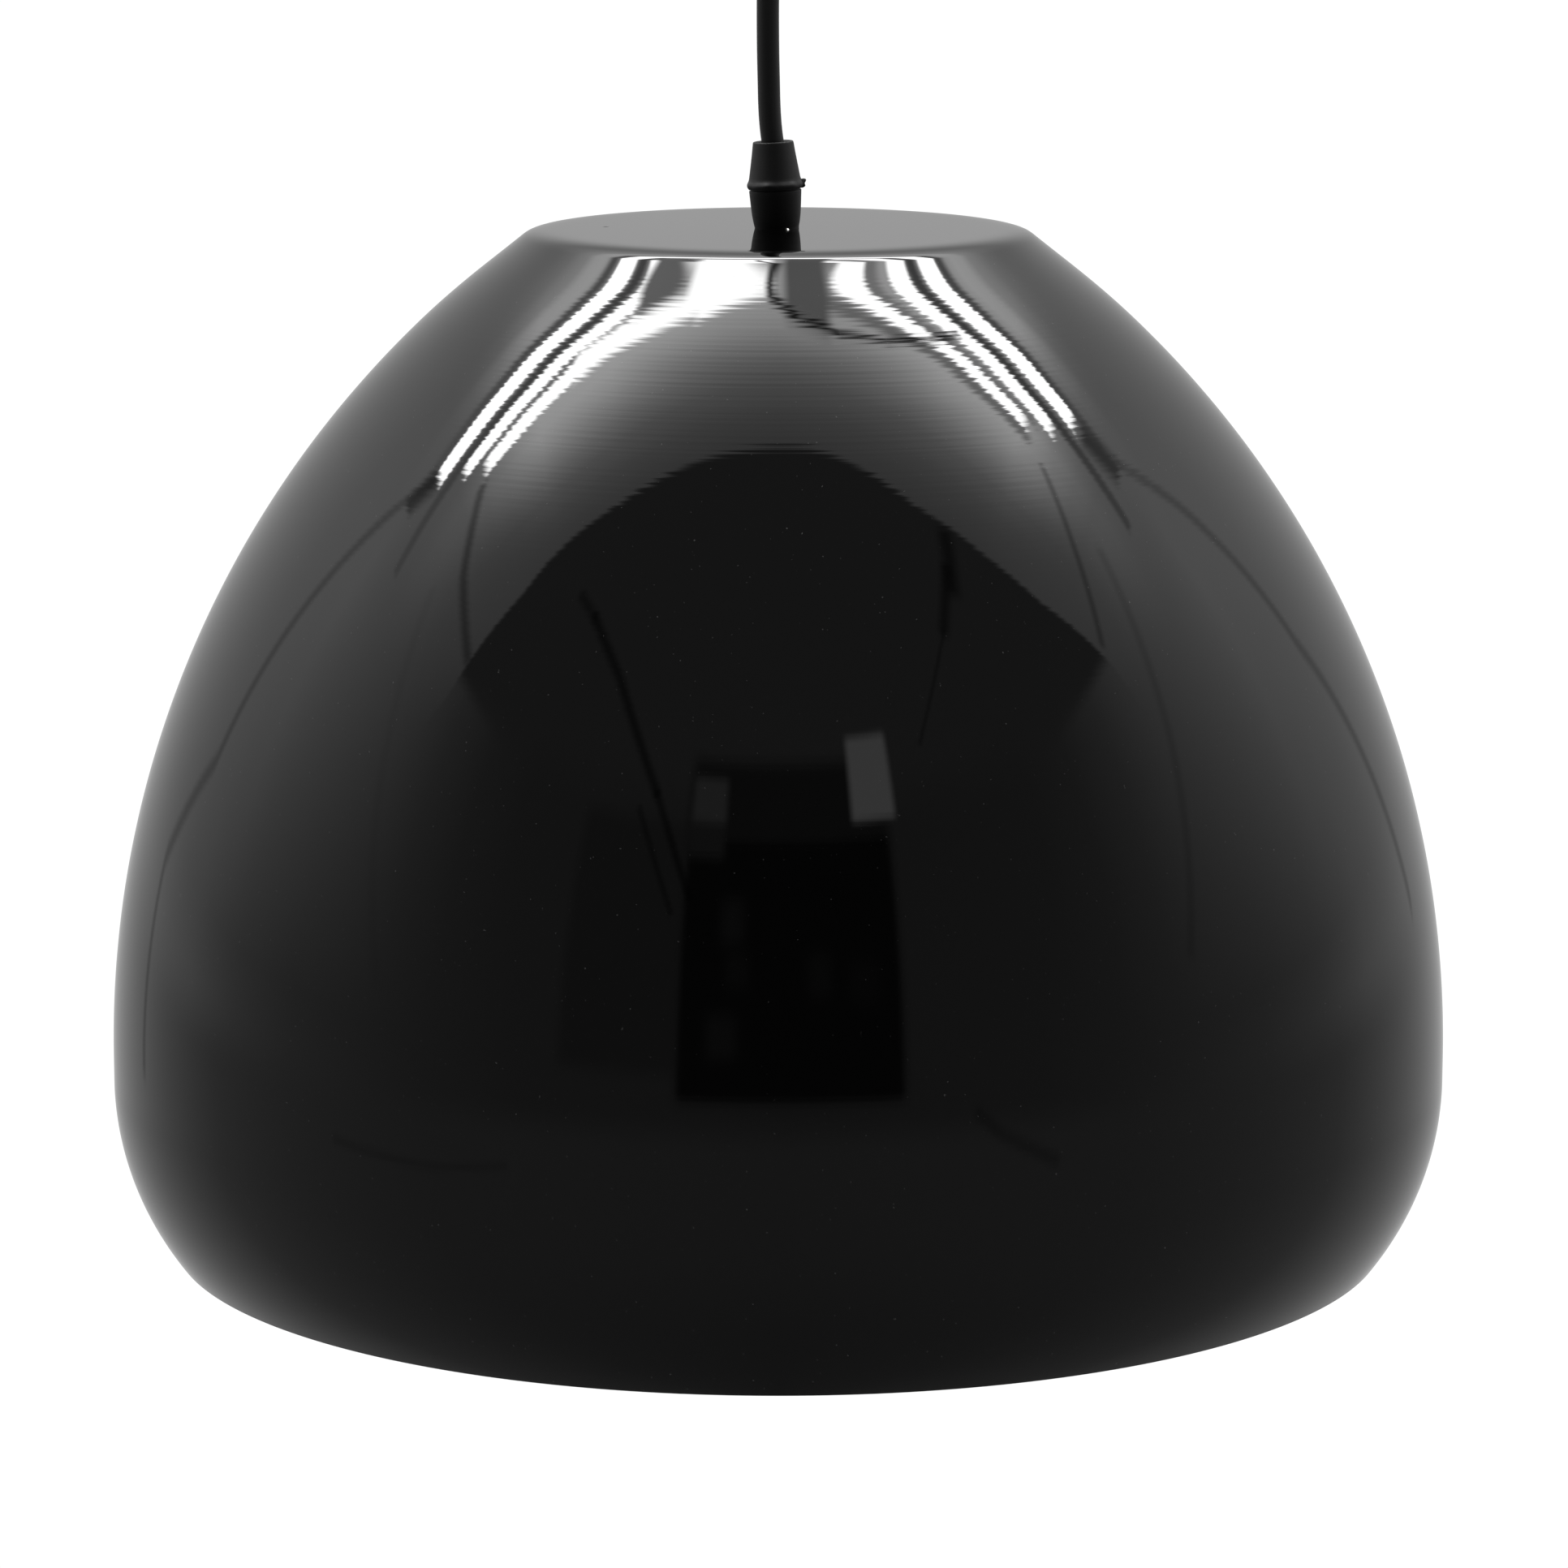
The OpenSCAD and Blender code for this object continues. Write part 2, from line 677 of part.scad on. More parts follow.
// Half the glass in section, moved inwards by t: a neck that flares into the round globe
function glass_side(t) =
    let (
        join_a = 40,
        neck_r = neck_glass_r - t,
        globe_r = glass_r - t,
        top_z = -bulb_cap_low + 4,
        flare_z = -bulb_cap_low - 2,
        join_r = globe_r * cos(join_a),
        flare_h = flare_z + globe_z - globe_r * sin(join_a)
    )
    concat(
        [[neck_r, top_z]],
        [for (i = [0:9])
            let (f = i / 10)
            [neck_r + (join_r - neck_r) * f * f * (3 - 2 * f) - flare_h * tan(join_a) * f * f * (1 - f),
                flare_z - flare_h * f]],
        [for (i = [0:13])
            let (a = join_a - (90 + join_a) * i / 14)
            [globe_r * cos(a), -globe_z + globe_r * sin(a)]],
        [[0, -globe_z - globe_r]]);

module bulb_glass() {
    outer = glass_side(0);
    inner = glass_side(glass_t);
    color("#dfe8ec", 0.4) translate([0, 0, shade_z]) rotate_extrude($fn = fine)
        polygon(concat(outer, [for (i = [len(inner) - 1:-1:0]) inner[i]]));
}

module bulb_screw_cap() {
    ridge_n = 5;
    ridge_pitch = 3.2;
    ridge_r = 1.1;
    ridge_low = 4;
    wall = 1;
    body_r = bulb_cap_r - 0.6;
    crown_r = 9.8;
    mouth_h = 6;
    low = -bulb_cap_low;
    body_h = bulb_cap_low - bulb_cap_top - 1;
    color("#c8c8c4") translate([0, 0, shade_z]) rotate_extrude($fn = fine) difference() {
        union() {
            translate([0, low]) square([body_r, body_h]);
            for (i = [0:ridge_n - 1]) {
                translate([bulb_cap_r - ridge_r, low + ridge_low + i * ridge_pitch])
                    circle(r = ridge_r, $fn = 32);
            }
            polygon([[0, -bulb_cap_top - 1.2], [body_r, -bulb_cap_top - 1.2],
                [crown_r, -bulb_cap_top], [0, -bulb_cap_top]]);
        }
        translate([0, low - cut]) square([neck_glass_r + 0.1, mouth_h + cut]);
        translate([0, low - cut]) square([body_r - wall, body_h]);
        translate([0, low]) square([crown_r - 0.3, 2 * bulb_cap_low]);
        translate([-bulb_l, low - bulb_l]) square([bulb_l, 3 * bulb_l]);
    }
}

module bulb_insulator() {
    top_r = 4.4;
    rim_r = 9.3;
    low = -bulb_cap_top - 1.4;
    color("#202024") translate([0, 0, shade_z]) rotate_extrude($fn = fine)
        polygon([[0, -insulator_top - 0.6], [top_r, -insulator_top - 0.6], [top_r + 0.2, -insulator_top],
            [rim_r, -bulb_cap_top + 0.4], [rim_r, low], [0, low]]);
}

module bulb_contact() {
    contact_r = 4.2;
    color("#c0c0bc") translate([0, 0, shade_z]) rotate_extrude($fn = fine)
        polygon([[0, -insulator_top - 0.5], [contact_r, -insulator_top - 0.5],
            [contact_r, -insulator_top + 1], [3, -bulb_top - 0.3], [1.5, -bulb_top], [0, -bulb_top]]);
}

module bulb_stem() {
    top_z = -bulb_cap_low + 3.6;
    flare_r = neck_glass_r - glass_t - 0.2;
    color("#dfe8ec", 0.4) translate([0, 0, shade_z]) rotate_extrude($fn = fine)
        polygon([[0, top_z], [flare_r, top_z],
            [flare_r, top_z - 1], [5, top_z - 8], [4, -press_low + 2],
            [3, -press_low], [0, -press_low]]);
}

module bulb_leads() {
    press_z = shade_z - press_low;
    lead_foot_r = 1.6;
    lead_r = 0.35;
    rod_r = 0.4;
    rod_h = 36;
    plate_r = 7.6;
    plate_t = 0.6;
    color("#a0a0a0") for (i = [0:filament_count - 1]) {
        a = 360 * i / filament_count;
        foot = [lead_foot_r * cos(a), lead_foot_r * sin(a), press_z - 0.1];
        tip = [filament_x * cos(a), filament_x * sin(a), press_z - 8];
        tube([foot, foot + [0, 0, -4], tip + [0, 0, 1], tip], lead_r, [-sin(a), cos(a), 0.01], 8);
    }
    color("#a0a0a0") translate([0, 0, press_z - rod_h]) cylinder(h = rod_h - 0.2, r = rod_r, $fn = fine);
    color("#a0a0a0") translate([0, 0, press_z - rod_h - 1]) disc(plate_r, 0.1, 0, plate_t);
}

module bulb_filaments() {
    filament_r = 0.9;
    filament_l = 28;
    top_z = shade_z - press_low - 8.2;
    color("#e6c84a") for (i = [0:filament_count - 1]) {
        rotate([0, 0, 360 * i / filament_count]) translate([filament_x, 0, top_z - filament_l])
            cylinder(h = filament_l, r = filament_r, $fn = fine);
    }
}

ceiling_bracket();
bracket_earth_screw();
canopy_cup();
canopy_side_screws();
terminal_block();
terminal_screws();
canopy_nipple();
canopy_nut();
canopy_grip_body();
canopy_grip_collet();
canopy_cord_end();
canopy_core_live();
canopy_core_neutral();
canopy_core_earth();
canopy_grip_cap();
cord();
shade();
top_washer();
grip_body();
grip_collet();
nipple();
lock_washer();
hex_nut();
holder_cap();
holder_skirt();
holder_insert();
screw_shell();
centre_contact();
holder_terminals();
holder_terminal_screws();
holder_earth_tag();
lamp_cord_end();
core_live();
core_neutral();
core_earth();
grip_cap();
bulb_glass();
bulb_screw_cap();
bulb_insulator();
bulb_contact();
bulb_stem();
bulb_leads();
bulb_filaments();
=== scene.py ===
"""Pendant ceiling light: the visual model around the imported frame, with its studio and camera."""
import json
import math

import bpy
from mathutils import Matrix, Vector

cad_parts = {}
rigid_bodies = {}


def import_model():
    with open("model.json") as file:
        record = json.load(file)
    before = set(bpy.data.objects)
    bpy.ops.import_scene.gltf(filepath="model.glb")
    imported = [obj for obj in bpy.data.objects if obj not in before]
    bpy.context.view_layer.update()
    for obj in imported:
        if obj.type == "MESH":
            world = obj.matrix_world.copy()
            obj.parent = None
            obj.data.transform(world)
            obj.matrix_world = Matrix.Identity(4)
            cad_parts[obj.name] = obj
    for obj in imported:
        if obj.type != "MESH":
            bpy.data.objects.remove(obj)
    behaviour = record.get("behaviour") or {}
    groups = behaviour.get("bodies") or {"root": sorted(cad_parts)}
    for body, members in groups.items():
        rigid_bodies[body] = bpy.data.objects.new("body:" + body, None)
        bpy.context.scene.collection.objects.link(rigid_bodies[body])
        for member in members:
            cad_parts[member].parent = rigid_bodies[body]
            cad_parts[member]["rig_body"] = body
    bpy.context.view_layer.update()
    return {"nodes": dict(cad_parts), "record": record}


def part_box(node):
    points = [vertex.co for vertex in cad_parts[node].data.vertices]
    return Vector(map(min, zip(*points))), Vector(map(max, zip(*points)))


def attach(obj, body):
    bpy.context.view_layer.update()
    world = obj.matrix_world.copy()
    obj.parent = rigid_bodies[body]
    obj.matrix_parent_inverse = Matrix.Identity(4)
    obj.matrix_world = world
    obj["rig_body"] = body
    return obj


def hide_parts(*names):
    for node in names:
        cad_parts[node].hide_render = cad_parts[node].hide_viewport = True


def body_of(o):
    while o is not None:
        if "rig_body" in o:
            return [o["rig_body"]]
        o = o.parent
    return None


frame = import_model()

MM = 0.001
TURN = 2 * math.pi
# A point of an outline nearer the axis than this counts as on it
ON_AXIS = 1e-7


# ---------------------------------------------------------------- measures

SHADE_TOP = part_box("shade")[1][2]
SHADE_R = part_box("shade")[1][0]
SHADE_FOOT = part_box("shade")[0][2]
SHEET = 1 * MM
HOLE_R = 5.6 * MM
# The dome is an arc of DOME_R about the shade's axis, and the rim turns in by RIM_A on RIM_ARC_R
DOME_R = 301 * MM
RIM_ARC_R = 85 * MM
RIM_A = math.radians(37)

# Each cord grip leans about a point GRIP_LEAN_DEPTH behind its foot, and its body and cap meet
# with a small gap
CORD_R = 3.3 * MM
GRIP_LEAN = math.radians(2.5)
GRIP_LEAN_DEPTH = 9 * MM
FOOT_GAP = 0.75 * MM
BODY_H = 11.6 * MM
CAP_H = 12.4 * MM
GRIP_H = BODY_H + 0.3 * MM + CAP_H

CUP_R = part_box("canopy_cup")[1][0]
CUP_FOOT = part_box("canopy_cup")[0][2]
CUP_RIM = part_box("canopy_cup")[1][2]
CUP_WALL = 1.2 * MM
SIDE_SCREW_Z = -8 * MM


# ---------------------------------------------------------------- shader building

class Number:
    """A number worked out by shader nodes, used like a plain one."""

    def __init__(self, tree, socket):
        self.tree = tree
        self.socket = socket

    def math(self, operation, *others):
        node = self.tree.nodes.new("ShaderNodeMath")
        node.operation = operation
        for place, value in enumerate((self,) + others):
            if isinstance(value, Number):
                self.tree.links.new(value.socket, node.inputs[place])
            else:
                node.inputs[place].default_value = value
        return Number(self.tree, node.outputs[0])

    def __add__(self, other):
        return self.math("ADD", other)

    def __sub__(self, other):
        return self.math("SUBTRACT", other)

    def __mul__(self, other):
        return self.math("MULTIPLY", other)

    def __truediv__(self, other):
        return self.math("DIVIDE", other)

    def __abs__(self):
        return self.math("ABSOLUTE")

    def within(self, low, high, edge):
        """1 between low and high, 0 outside, with a soft edge."""
        return self.rise(low - edge, low + edge) * (self.rise(high - edge, high + edge) * -1 + 1)

    def rise(self, low, high):
        """0 below low, 1 above high, with a smooth step between."""
        node = self.tree.nodes.new("ShaderNodeMapRange")
        node.interpolation_type = "SMOOTHSTEP"
        self.tree.links.new(self.socket, node.inputs["Value"])
        node.inputs["From Min"].default_value = low
        node.inputs["From Max"].default_value = high
        return Number(self.tree, node.outputs["Result"])

    def curve(self, stops):
        """Straight lines through the stops, each (where, value)."""
        low, high = stops[0][0], stops[-1][0]
        top = max(value for _, value in stops)
        node = self.tree.nodes.new("ShaderNodeValToRGB")
        ramp = node.color_ramp
        while len(ramp.elements) < len(stops):
            ramp.elements.new(0.5)
        for element, (where, value) in zip(ramp.elements, stops):
            element.position = (where - low) / (high - low)
            element.color = [value / top] * 3 + [1]
        spot = (self - low) / (high - low)
        self.tree.links.new(spot.socket, node.inputs["Fac"])
        return Number(self.tree, node.outputs["Color"]) * top


def split(tree, socket):
    """The three numbers of a vector socket."""
    node = tree.nodes.new("ShaderNodeSeparateXYZ")
    tree.links.new(socket, node.inputs[0])
    return [Number(tree, out) for out in node.outputs]


def blend(a, b, share):
    """a where share is 0, b where it is 1."""
    if isinstance(b, Number):
        return a + (b - a) * share
    return a + (a * -1 + b) * share


# ---------------------------------------------------------------- camera and studio

CAMERA_AT = (0, -1.81, SHADE_TOP + 0.1723)
CAMERA_TO = (0.0017, 0, -0.319)
LENS = 140.8
SENSOR = 36


def make_camera():
    data = bpy.data.cameras.new("camera")
    data.lens = LENS
    data.sensor_width = SENSOR
    data.clip_end = 50
    camera = bpy.data.objects.new("camera", data)
    camera.location = CAMERA_AT
    way = Vector(CAMERA_TO) - Vector(CAMERA_AT)
    camera.rotation_euler = way.to_track_quat("-Z", "Y").to_euler()
    bpy.context.scene.collection.objects.link(camera)
    bpy.context.scene.camera = camera


# What shines or darkens on the studio's ceiling, in order. u and v are how far to +X and +Y a
# direction leads for each step up: from u, to u, v at each end, half width, softness, level
OVERHEAD = [
    (-1.30, -0.30, 0.556, 0.566, 0.030, 0.9, 0.9),
    (0.30, 1.1, 0.545, 0.520, 0.030, 0.9, 0.8),
    (-1.38, -1.19, 0.60, 0.50, 0.055, 0.9, 0.4),
    (1.00, 1.19, 0.46, 0.52, 0.060, 0.9, 0.42),
    (-1.55, -0.36, 0.382, 0.396, 0.026, 0.8, 0.75),
    (0.33, 1.3, 0.385, 0.338, 0.026, 0.8, 0.65),
    (-0.95, -0.60, 0.290, 0.283, 0.020, 0.8, 2.6),
    (0.24, 0.82, 0.236, 0.246, 0.020, 0.8, 2.6),
    (0.10, 0.80, 0.135, 0.160, 0.022, 0.8, 2.2),
    (-1.18, 0.96, 0.482, 0.456, 0.046, 0.25, 20),
    (-1.06, -0.36, 0.334, 0.326, 0.033, 0.3, 20),
    (0.16, 0.88, 0.330, 0.300, 0.034, 0.3, 20),
    (-0.97, -0.42, 0.236, 0.228, 0.034, 0.3, 20),
    (0.15, 0.78, 0.196, 0.204, 0.026, 0.3, 20),
    (-0.62, -0.18, 0.238, 0.185, 0.050, 0.4, 20),
    (-0.24, -0.02, 0.215, 0.225, 0.092, 0.15, 20),
    (-0.42, -0.27, 0.335, 0.290, 0.075, 0.4, 1.8),
    (0.02, 0.15, 0.240, 0.200, 0.160, 0.3, 1.4),
]
# Edge of the dark flap that hangs in front of the ceiling: (u, v + FLAP_LIFT), as a curve's values
# can't be below 0
FLAP_LIFT = 0.5
FLAP_EDGE = [(-1.6, 0.06), (-1.4, 0.09), (-1.2, 0.12), (-0.95, 0.148), (-0.82, 0.178),
    (-0.7, 0.19), (-0.3, 0.212), (0.1, 0.22), (0.28, 0.195), (0.45, 0.158), (0.7, 0.14),
    (1.0, 0.14), (1.25, 0.175), (1.5, 0.20)]
FLAP_LEVEL = 0.16
# Creases and cables in the studio: a line of (turn, rise) in degrees, half width, share left
MARKS = [
    ([(-113, 37.5), (-120, 24), (-127.5, 6), (-137.5, -2.5), (-139, -12)], 0.018, 0.66),
    ([(116, 37), (130, 12.5), (144, -6)], 0.018, 0.68),
    ([(-100, 44.5), (-87, 40), (-74, 35.5)], 0.017, 0.50),
    ([(97, 49), (88, 43.6), (79, 35.5)], 0.014, 0.60),
    ([(-55, 48.7), (-49, 47.5)], 0.016, 0.55),
    ([(-49, 47.5), (-37.5, 42.5), (-24, 31)], 0.017, 0.40),
    ([(-24, 31), (-16, 20)], 0.015, 0.45),
    ([(-27, 29), (-19, 18)], 0.012, 0.60),
    ([(56, 56), (50, 50.5)], 0.030, 0.42),
    ([(51, 53), (43, 47)], 0.022, 0.45),
    ([(43, 47), (30, 36)], 0.008, 0.65),
    ([(93, 40), (84, 24), (75, 6)], 0.020, 0.82),
    ([(-92, 36), (-80, 18), (-72, 4)], 0.020, 0.93),
    ([(33, -5), (37, -7.5), (47, -11)], 0.020, 0.72),
    ([(-80, -11.5), (-60, -12.5), (-46, -11.5)], 0.012, 0.82),
]
# The long cord of a lamp hung far below its ceiling, as its own dome would mirror it: (u, v), then
# its half width and the share of light left
LONG_CORD = [(-0.065, 0.24), (-0.06, 0.2), (-0.02, 0.13), (0.06, 0.08), (0.18, 0.06),
    (0.32, 0.095), (0.45, 0.19), (0.54, 0.31)]
LONG_CORD_HALF = 0.016
LONG_CORD_SHARE = 0.06
# Panels and gaps in the studio's walls: turn and rise from and to, softness, level
PANELS = [
    (-37, -17, 0, 28, 1.5, 0.105),
    (-17, 21, -3, 35.5, 1.6, 0.06),
    (-16.5, 20.5, -2.5, 26.5, 0.9, 0.022),
    (14.2, 22.5, 28.5, 38, 0.9, 0.8),
    (-17, -10, 24.5, 29, 1.2, 0.10),
    (-16.5, -10, 28.5, 33.5, 1.0, 0.24),
    (-10, -6, 15, 20, 1.6, 0.06),
    (5, 9, 9, 14, 1.6, 0.045),
    (-9, -5, 10, 14, 1.6, 0.045),
    (-12, -7, 2, 7, 1.6, 0.06),
    (12, 17, 8, 13, 1.6, 0.035),
]
BACKDROP_LEVEL = 1.05


def way(turn, rise):
    """The direction at that turn from the camera's side and that rise, in degrees."""
    turn, rise = math.radians(turn), math.radians(rise)
    level = math.cos(rise)
    return Vector((math.sin(turn) * level, -math.cos(turn) * level, math.sin(rise)))


def dot(tree, socket, direction):
    """How far a vector socket leads along a fixed direction."""
    node = tree.nodes.new("ShaderNodeVectorMath")
    node.operation = "DOT_PRODUCT"
    tree.links.new(socket, node.inputs[0])
    node.inputs[1].default_value = direction
    return Number(tree, node.outputs["Value"])


def tent_walls(turn, rise):
    """Walls and floor, all round."""
    wide = abs(turn)
    low = wide.curve([(0, 0.13), (45, 0.15), (60, 0.18), (75, 0.225), (90, 0.27), (105, 0.35),
        (120, 0.48), (150, 0.53), (180, 0.54)])
    high = wide.curve([(0, 0.125), (50, 0.145), (60, 0.19), (70, 0.32), (80, 0.55), (90, 0.75),
        (100, 0.93), (112, 1.15), (130, 0.85), (150, 0.7), (180, 0.55)])
    wall = blend(low, high, (rise / 32).math("MAXIMUM", 0).math("MINIMUM", 1.3))
    floor = rise.curve([(-85, 0.12), (-60, 0.15), (-30, 0.19), (-8, 0.205)]) * wide.curve(
        [(0, 0.9), (60, 1), (110, 1.3), (150, 2.4), (180, 3)])
    return blend(floor, wall, rise.rise(-9, -4))


def tent_ceiling(level, u, v, rise):
    """The bright ceiling, with the dark flap in front of it."""
    glow = v.curve([(-0.34, 0.0), (-0.26, 0.15), (-0.2, 0.35), (-0.12, 0.85), (-0.06, 1.7),
        (0, 2.9), (0.06, 4.2), (0.12, 5.2), (0.2, 5.5), (0.3, 4.0), (0.45, 2.8), (0.57, 2.6),
        (0.64, 3.1), (0.72, 2.7), (0.8, 1.6), (1.0, 0.85), (1.3, 0.5), (2, 0.2), (3, 0.1)])
    reach = abs(u).curve([(0, 0.85), (0.5, 1), (0.75, 0.88), (0.9, 0.42), (1.0, 0.24), (1.1, 0.15),
        (1.3, 0.10), (1.6, 0.05), (2.2, 0)])
    far = abs(u).curve([(0, 0.58), (1.3, 0.75), (1.6, 0.75), (2.2, 0.62), (4, 0.5)])
    edge = u.curve(FLAP_EDGE) - FLAP_LIFT
    past = (v - edge).rise(-0.012, 0.014)
    level = blend(level, glow * reach + far, past * rise.rise(25, 45))
    outside = abs(u).rise(1.38, 1.5)
    return blend(level, FLAP_LEVEL, (past * -1 + 1) * (outside * -1 + 1) * rise.rise(27, 35))


def mark(tree, aim, first, second, half):
    """1 along the line from one direction to the other, fading to 0 beside it."""
    normal = first.cross(second).normalized()
    off = abs(dot(tree, aim, normal)).rise(0, half * 1.3) * -1 + 1
    from_first = dot(tree, aim, normal.cross(first)).rise(-half, half * 0.2)
    to_second = dot(tree, aim, second.cross(normal)).rise(-half, half * 0.2)
    return off * from_first * to_second


def darken_line(tree, level, aim, ways, half, share):
    """Darkens a line of directions, once where its parts overlap."""
    parts = [mark(tree, aim, a, b, half) for a, b in zip(ways, ways[1:])]
    line = parts[0]
    for part in parts[1:]:
        line = line.math("MAXIMUM", part)
    return blend(level, level * share, line)


def light_tent(tree):
    """Brightness of the studio in each direction, seen from the lamp."""
    coord = tree.nodes.new("ShaderNodeTexCoord")
    aim = coord.outputs["Generated"]
    x, y, z = split(tree, aim)
    to_deg = 360 / TURN
    turn = x.math("ARCTAN2", y * -1) * to_deg
    rise = z.math("ARCSINE") * to_deg
    up = z.math("MAXIMUM", 0.02)
    u, v = x / up, y / up

    level = tent_ceiling(tent_walls(turn, rise), u, v, rise)
    for turn_from, turn_to, low, high, soft, shade in PANELS:
        panel = turn.within(turn_from, turn_to, soft) * rise.within(low, high, soft)
        level = blend(level, shade, panel)
    for start, end, v_start, v_end, half, soft, shade in OVERHEAD:
        line = (u - start) * ((v_end - v_start) / (end - start)) + v_start
        across = abs(v - line).rise(half * (1 - soft), half * (1 + soft)) * -1 + 1
        level = blend(level, shade, across * u.within(start, end, 0.02) * z.rise(0.2, 0.3))
    for points, half, share in MARKS:
        level = darken_line(tree, level, aim, [way(*point) for point in points], half, share)
    cord = [Vector((u_at, v_at, 1)).normalized() for u_at, v_at in LONG_CORD]
    return darken_line(tree, level, aim, cord, LONG_CORD_HALF, LONG_CORD_SHARE)


def make_world():
    """The studio lights the lamp and shows in it; the camera itself sees plain white."""
    world = bpy.data.worlds.new("studio")
    bpy.context.scene.world = world
    world.use_nodes = True
    tree = world.node_tree
    tree.nodes.clear()
    level = light_tent(tree)
    tent = tree.nodes.new("ShaderNodeBackground")
    tree.links.new(level.socket, tent.inputs["Color"])
    white = tree.nodes.new("ShaderNodeBackground")
    white.inputs["Color"].default_value = (1, 1, 1, 1)
    white.inputs["Strength"].default_value = BACKDROP_LEVEL
    path = tree.nodes.new("ShaderNodeLightPath")
    seen = Number(tree, path.outputs["Is Camera Ray"]).math(
        "MAXIMUM", Number(tree, path.outputs["Is Transmission Ray"]))
    mix = tree.nodes.new("ShaderNodeMixShader")
    tree.links.new(seen.socket, mix.inputs[0])
    tree.links.new(tent.outputs[0], mix.inputs[1])
    tree.links.new(white.outputs[0], mix.inputs[2])
    out = tree.nodes.new("ShaderNodeOutputWorld")
    tree.links.new(mix.outputs[0], out.inputs["Surface"])
    bpy.context.scene.view_settings.view_transform = "Standard"
    bpy.context.scene.view_settings.look = "None"


# ---------------------------------------------------------------- materials

def material(name, color, roughness, metallic=0.0, ior=1.5, **sockets):
    """A Principled material with its constant values set; returns it and its shader node."""
    made = bpy.data.materials.new(name)
    made.use_nodes = True
    shader = made.node_tree.nodes["Principled BSDF"]
    shader.inputs["Base Color"].default_value = (*color, 1)
    shader.inputs["Roughness"].default_value = roughness
    shader.inputs["Metallic"].default_value = metallic
    shader.inputs["IOR"].default_value = ior
    for socket, value in sockets.items():
        shader.inputs[socket.replace("_", " ")].default_value = value
    return made, shader


def place_in(tree, scale=(1, 1, 1)):
    """Object coordinates in metres, stretched by scale."""
    coord = tree.nodes.new("ShaderNodeTexCoord")
    mapping = tree.nodes.new("ShaderNodeMapping")
    mapping.inputs["Scale"].default_value = scale
    tree.links.new(coord.outputs["Object"], mapping.inputs["Vector"])
    return mapping.outputs["Vector"]


def noise(tree, per_metre, detail=3, stretch=(1, 1, 1)):
    """Cloudy noise between 0 and 1, with that many features to a metre."""
    node = tree.nodes.new("ShaderNodeTexNoise")
    node.inputs["Scale"].default_value = per_metre
    node.inputs["Detail"].default_value = detail
    node.inputs["Roughness"].default_value = 0.55
    tree.links.new(place_in(tree, stretch), node.inputs["Vector"])
    return Number(tree, node.outputs["Fac"])


def noise_along(tree, place, per_metre, detail=2):
    """Noise that changes with one number only."""
    node = tree.nodes.new("ShaderNodeTexNoise")
    node.noise_dimensions = "1D"
    node.inputs["Scale"].default_value = per_metre
    node.inputs["Detail"].default_value = detail
    tree.links.new(place.socket, node.inputs["W"])
    return Number(tree, node.outputs["Fac"])


def set_roughness(shader, number):
    number.tree.links.new(number.socket, shader.inputs["Roughness"])


def set_color(shader, share, low, high):
    """Base colour between low and high by share."""
    tree = share.tree
    mix = tree.nodes.new("ShaderNodeMix")
    mix.data_type = "RGBA"
    mix.inputs["A"].default_value = (*low, 1)
    mix.inputs["B"].default_value = (*high, 1)
    tree.links.new(share.socket, mix.inputs["Factor"])
    tree.links.new(mix.outputs["Result"], shader.inputs["Base Color"])


def set_bump(shader, height, distance):
    """Bumps as deep as distance, in metres, where height goes from 0 to 1."""
    tree = height.tree
    bump = tree.nodes.new("ShaderNodeBump")
    bump.inputs["Distance"].default_value = distance
    tree.links.new(height.socket, bump.inputs["Height"])
    tree.links.new(bump.outputs["Normal"], shader.inputs["Normal"])


CHIP_AT = (-51 * MM, 4 * MM)
RIPPLE_PITCH = 2.0 * MM
RIPPLE_DEPTH = 2.3e-6
# How far along the sheet from the cord hole the ripples begin, and where they fade
RIPPLE_START = (74 * MM, 96 * MM)
RIPPLE_FADE = (100 * MM, 190 * MM)


def spun_ripples(tree):
    """Fine turning marks left by spinning, ring after ring along the sheet."""
    node = tree.nodes.new("ShaderNodeAttribute")
    node.attribute_name = "arc"
    along = Number(tree, node.outputs["Fac"])
    phase = noise_along(tree, along, 1 / (3.1 * RIPPLE_PITCH)) * 5.0
    wave = (along * (TURN / RIPPLE_PITCH) + phase).math("SINE")
    loud = noise_along(tree, along, 1 / (5 * RIPPLE_PITCH)) * 1.6 + 0.1
    drift = noise_along(tree, along, 1 / (1.1 * RIPPLE_PITCH), detail=3) * 4.5
    fade = (along.rise(*RIPPLE_FADE) * -1 + 1) * 0.8 + 0.2
    return (wave * loud * 0.7 + drift) * fade * along.rise(*RIPPLE_START)


def enamel():
    """Gloss black over spun ripples, with pale specks of dust and one dull chip on the disc."""
    made, shader = material("gloss_black_enamel", (0.0008, 0.0008, 0.0008), 0.03)
    tree = made.node_tree
    specks = noise(tree, 1100, detail=1).rise(0.775, 0.80)
    set_color(shader, specks, (0.0006, 0.0006, 0.0006), (0.05, 0.05, 0.05))
    x, y, _ = split(tree, place_in(tree))
    chip = ((x - CHIP_AT[0]).math("POWER", 2) + (y - CHIP_AT[1]).math("POWER", 2)).math("SQRT")
    dull = (chip.rise(0.3 * MM, 1.2 * MM) * -1 + 1) * 0.8
    set_roughness(shader, noise(tree, 30, detail=2) * 0.02 + 0.012 + dull)
    set_bump(shader, spun_ripples(tree), RIPPLE_DEPTH)
    return made


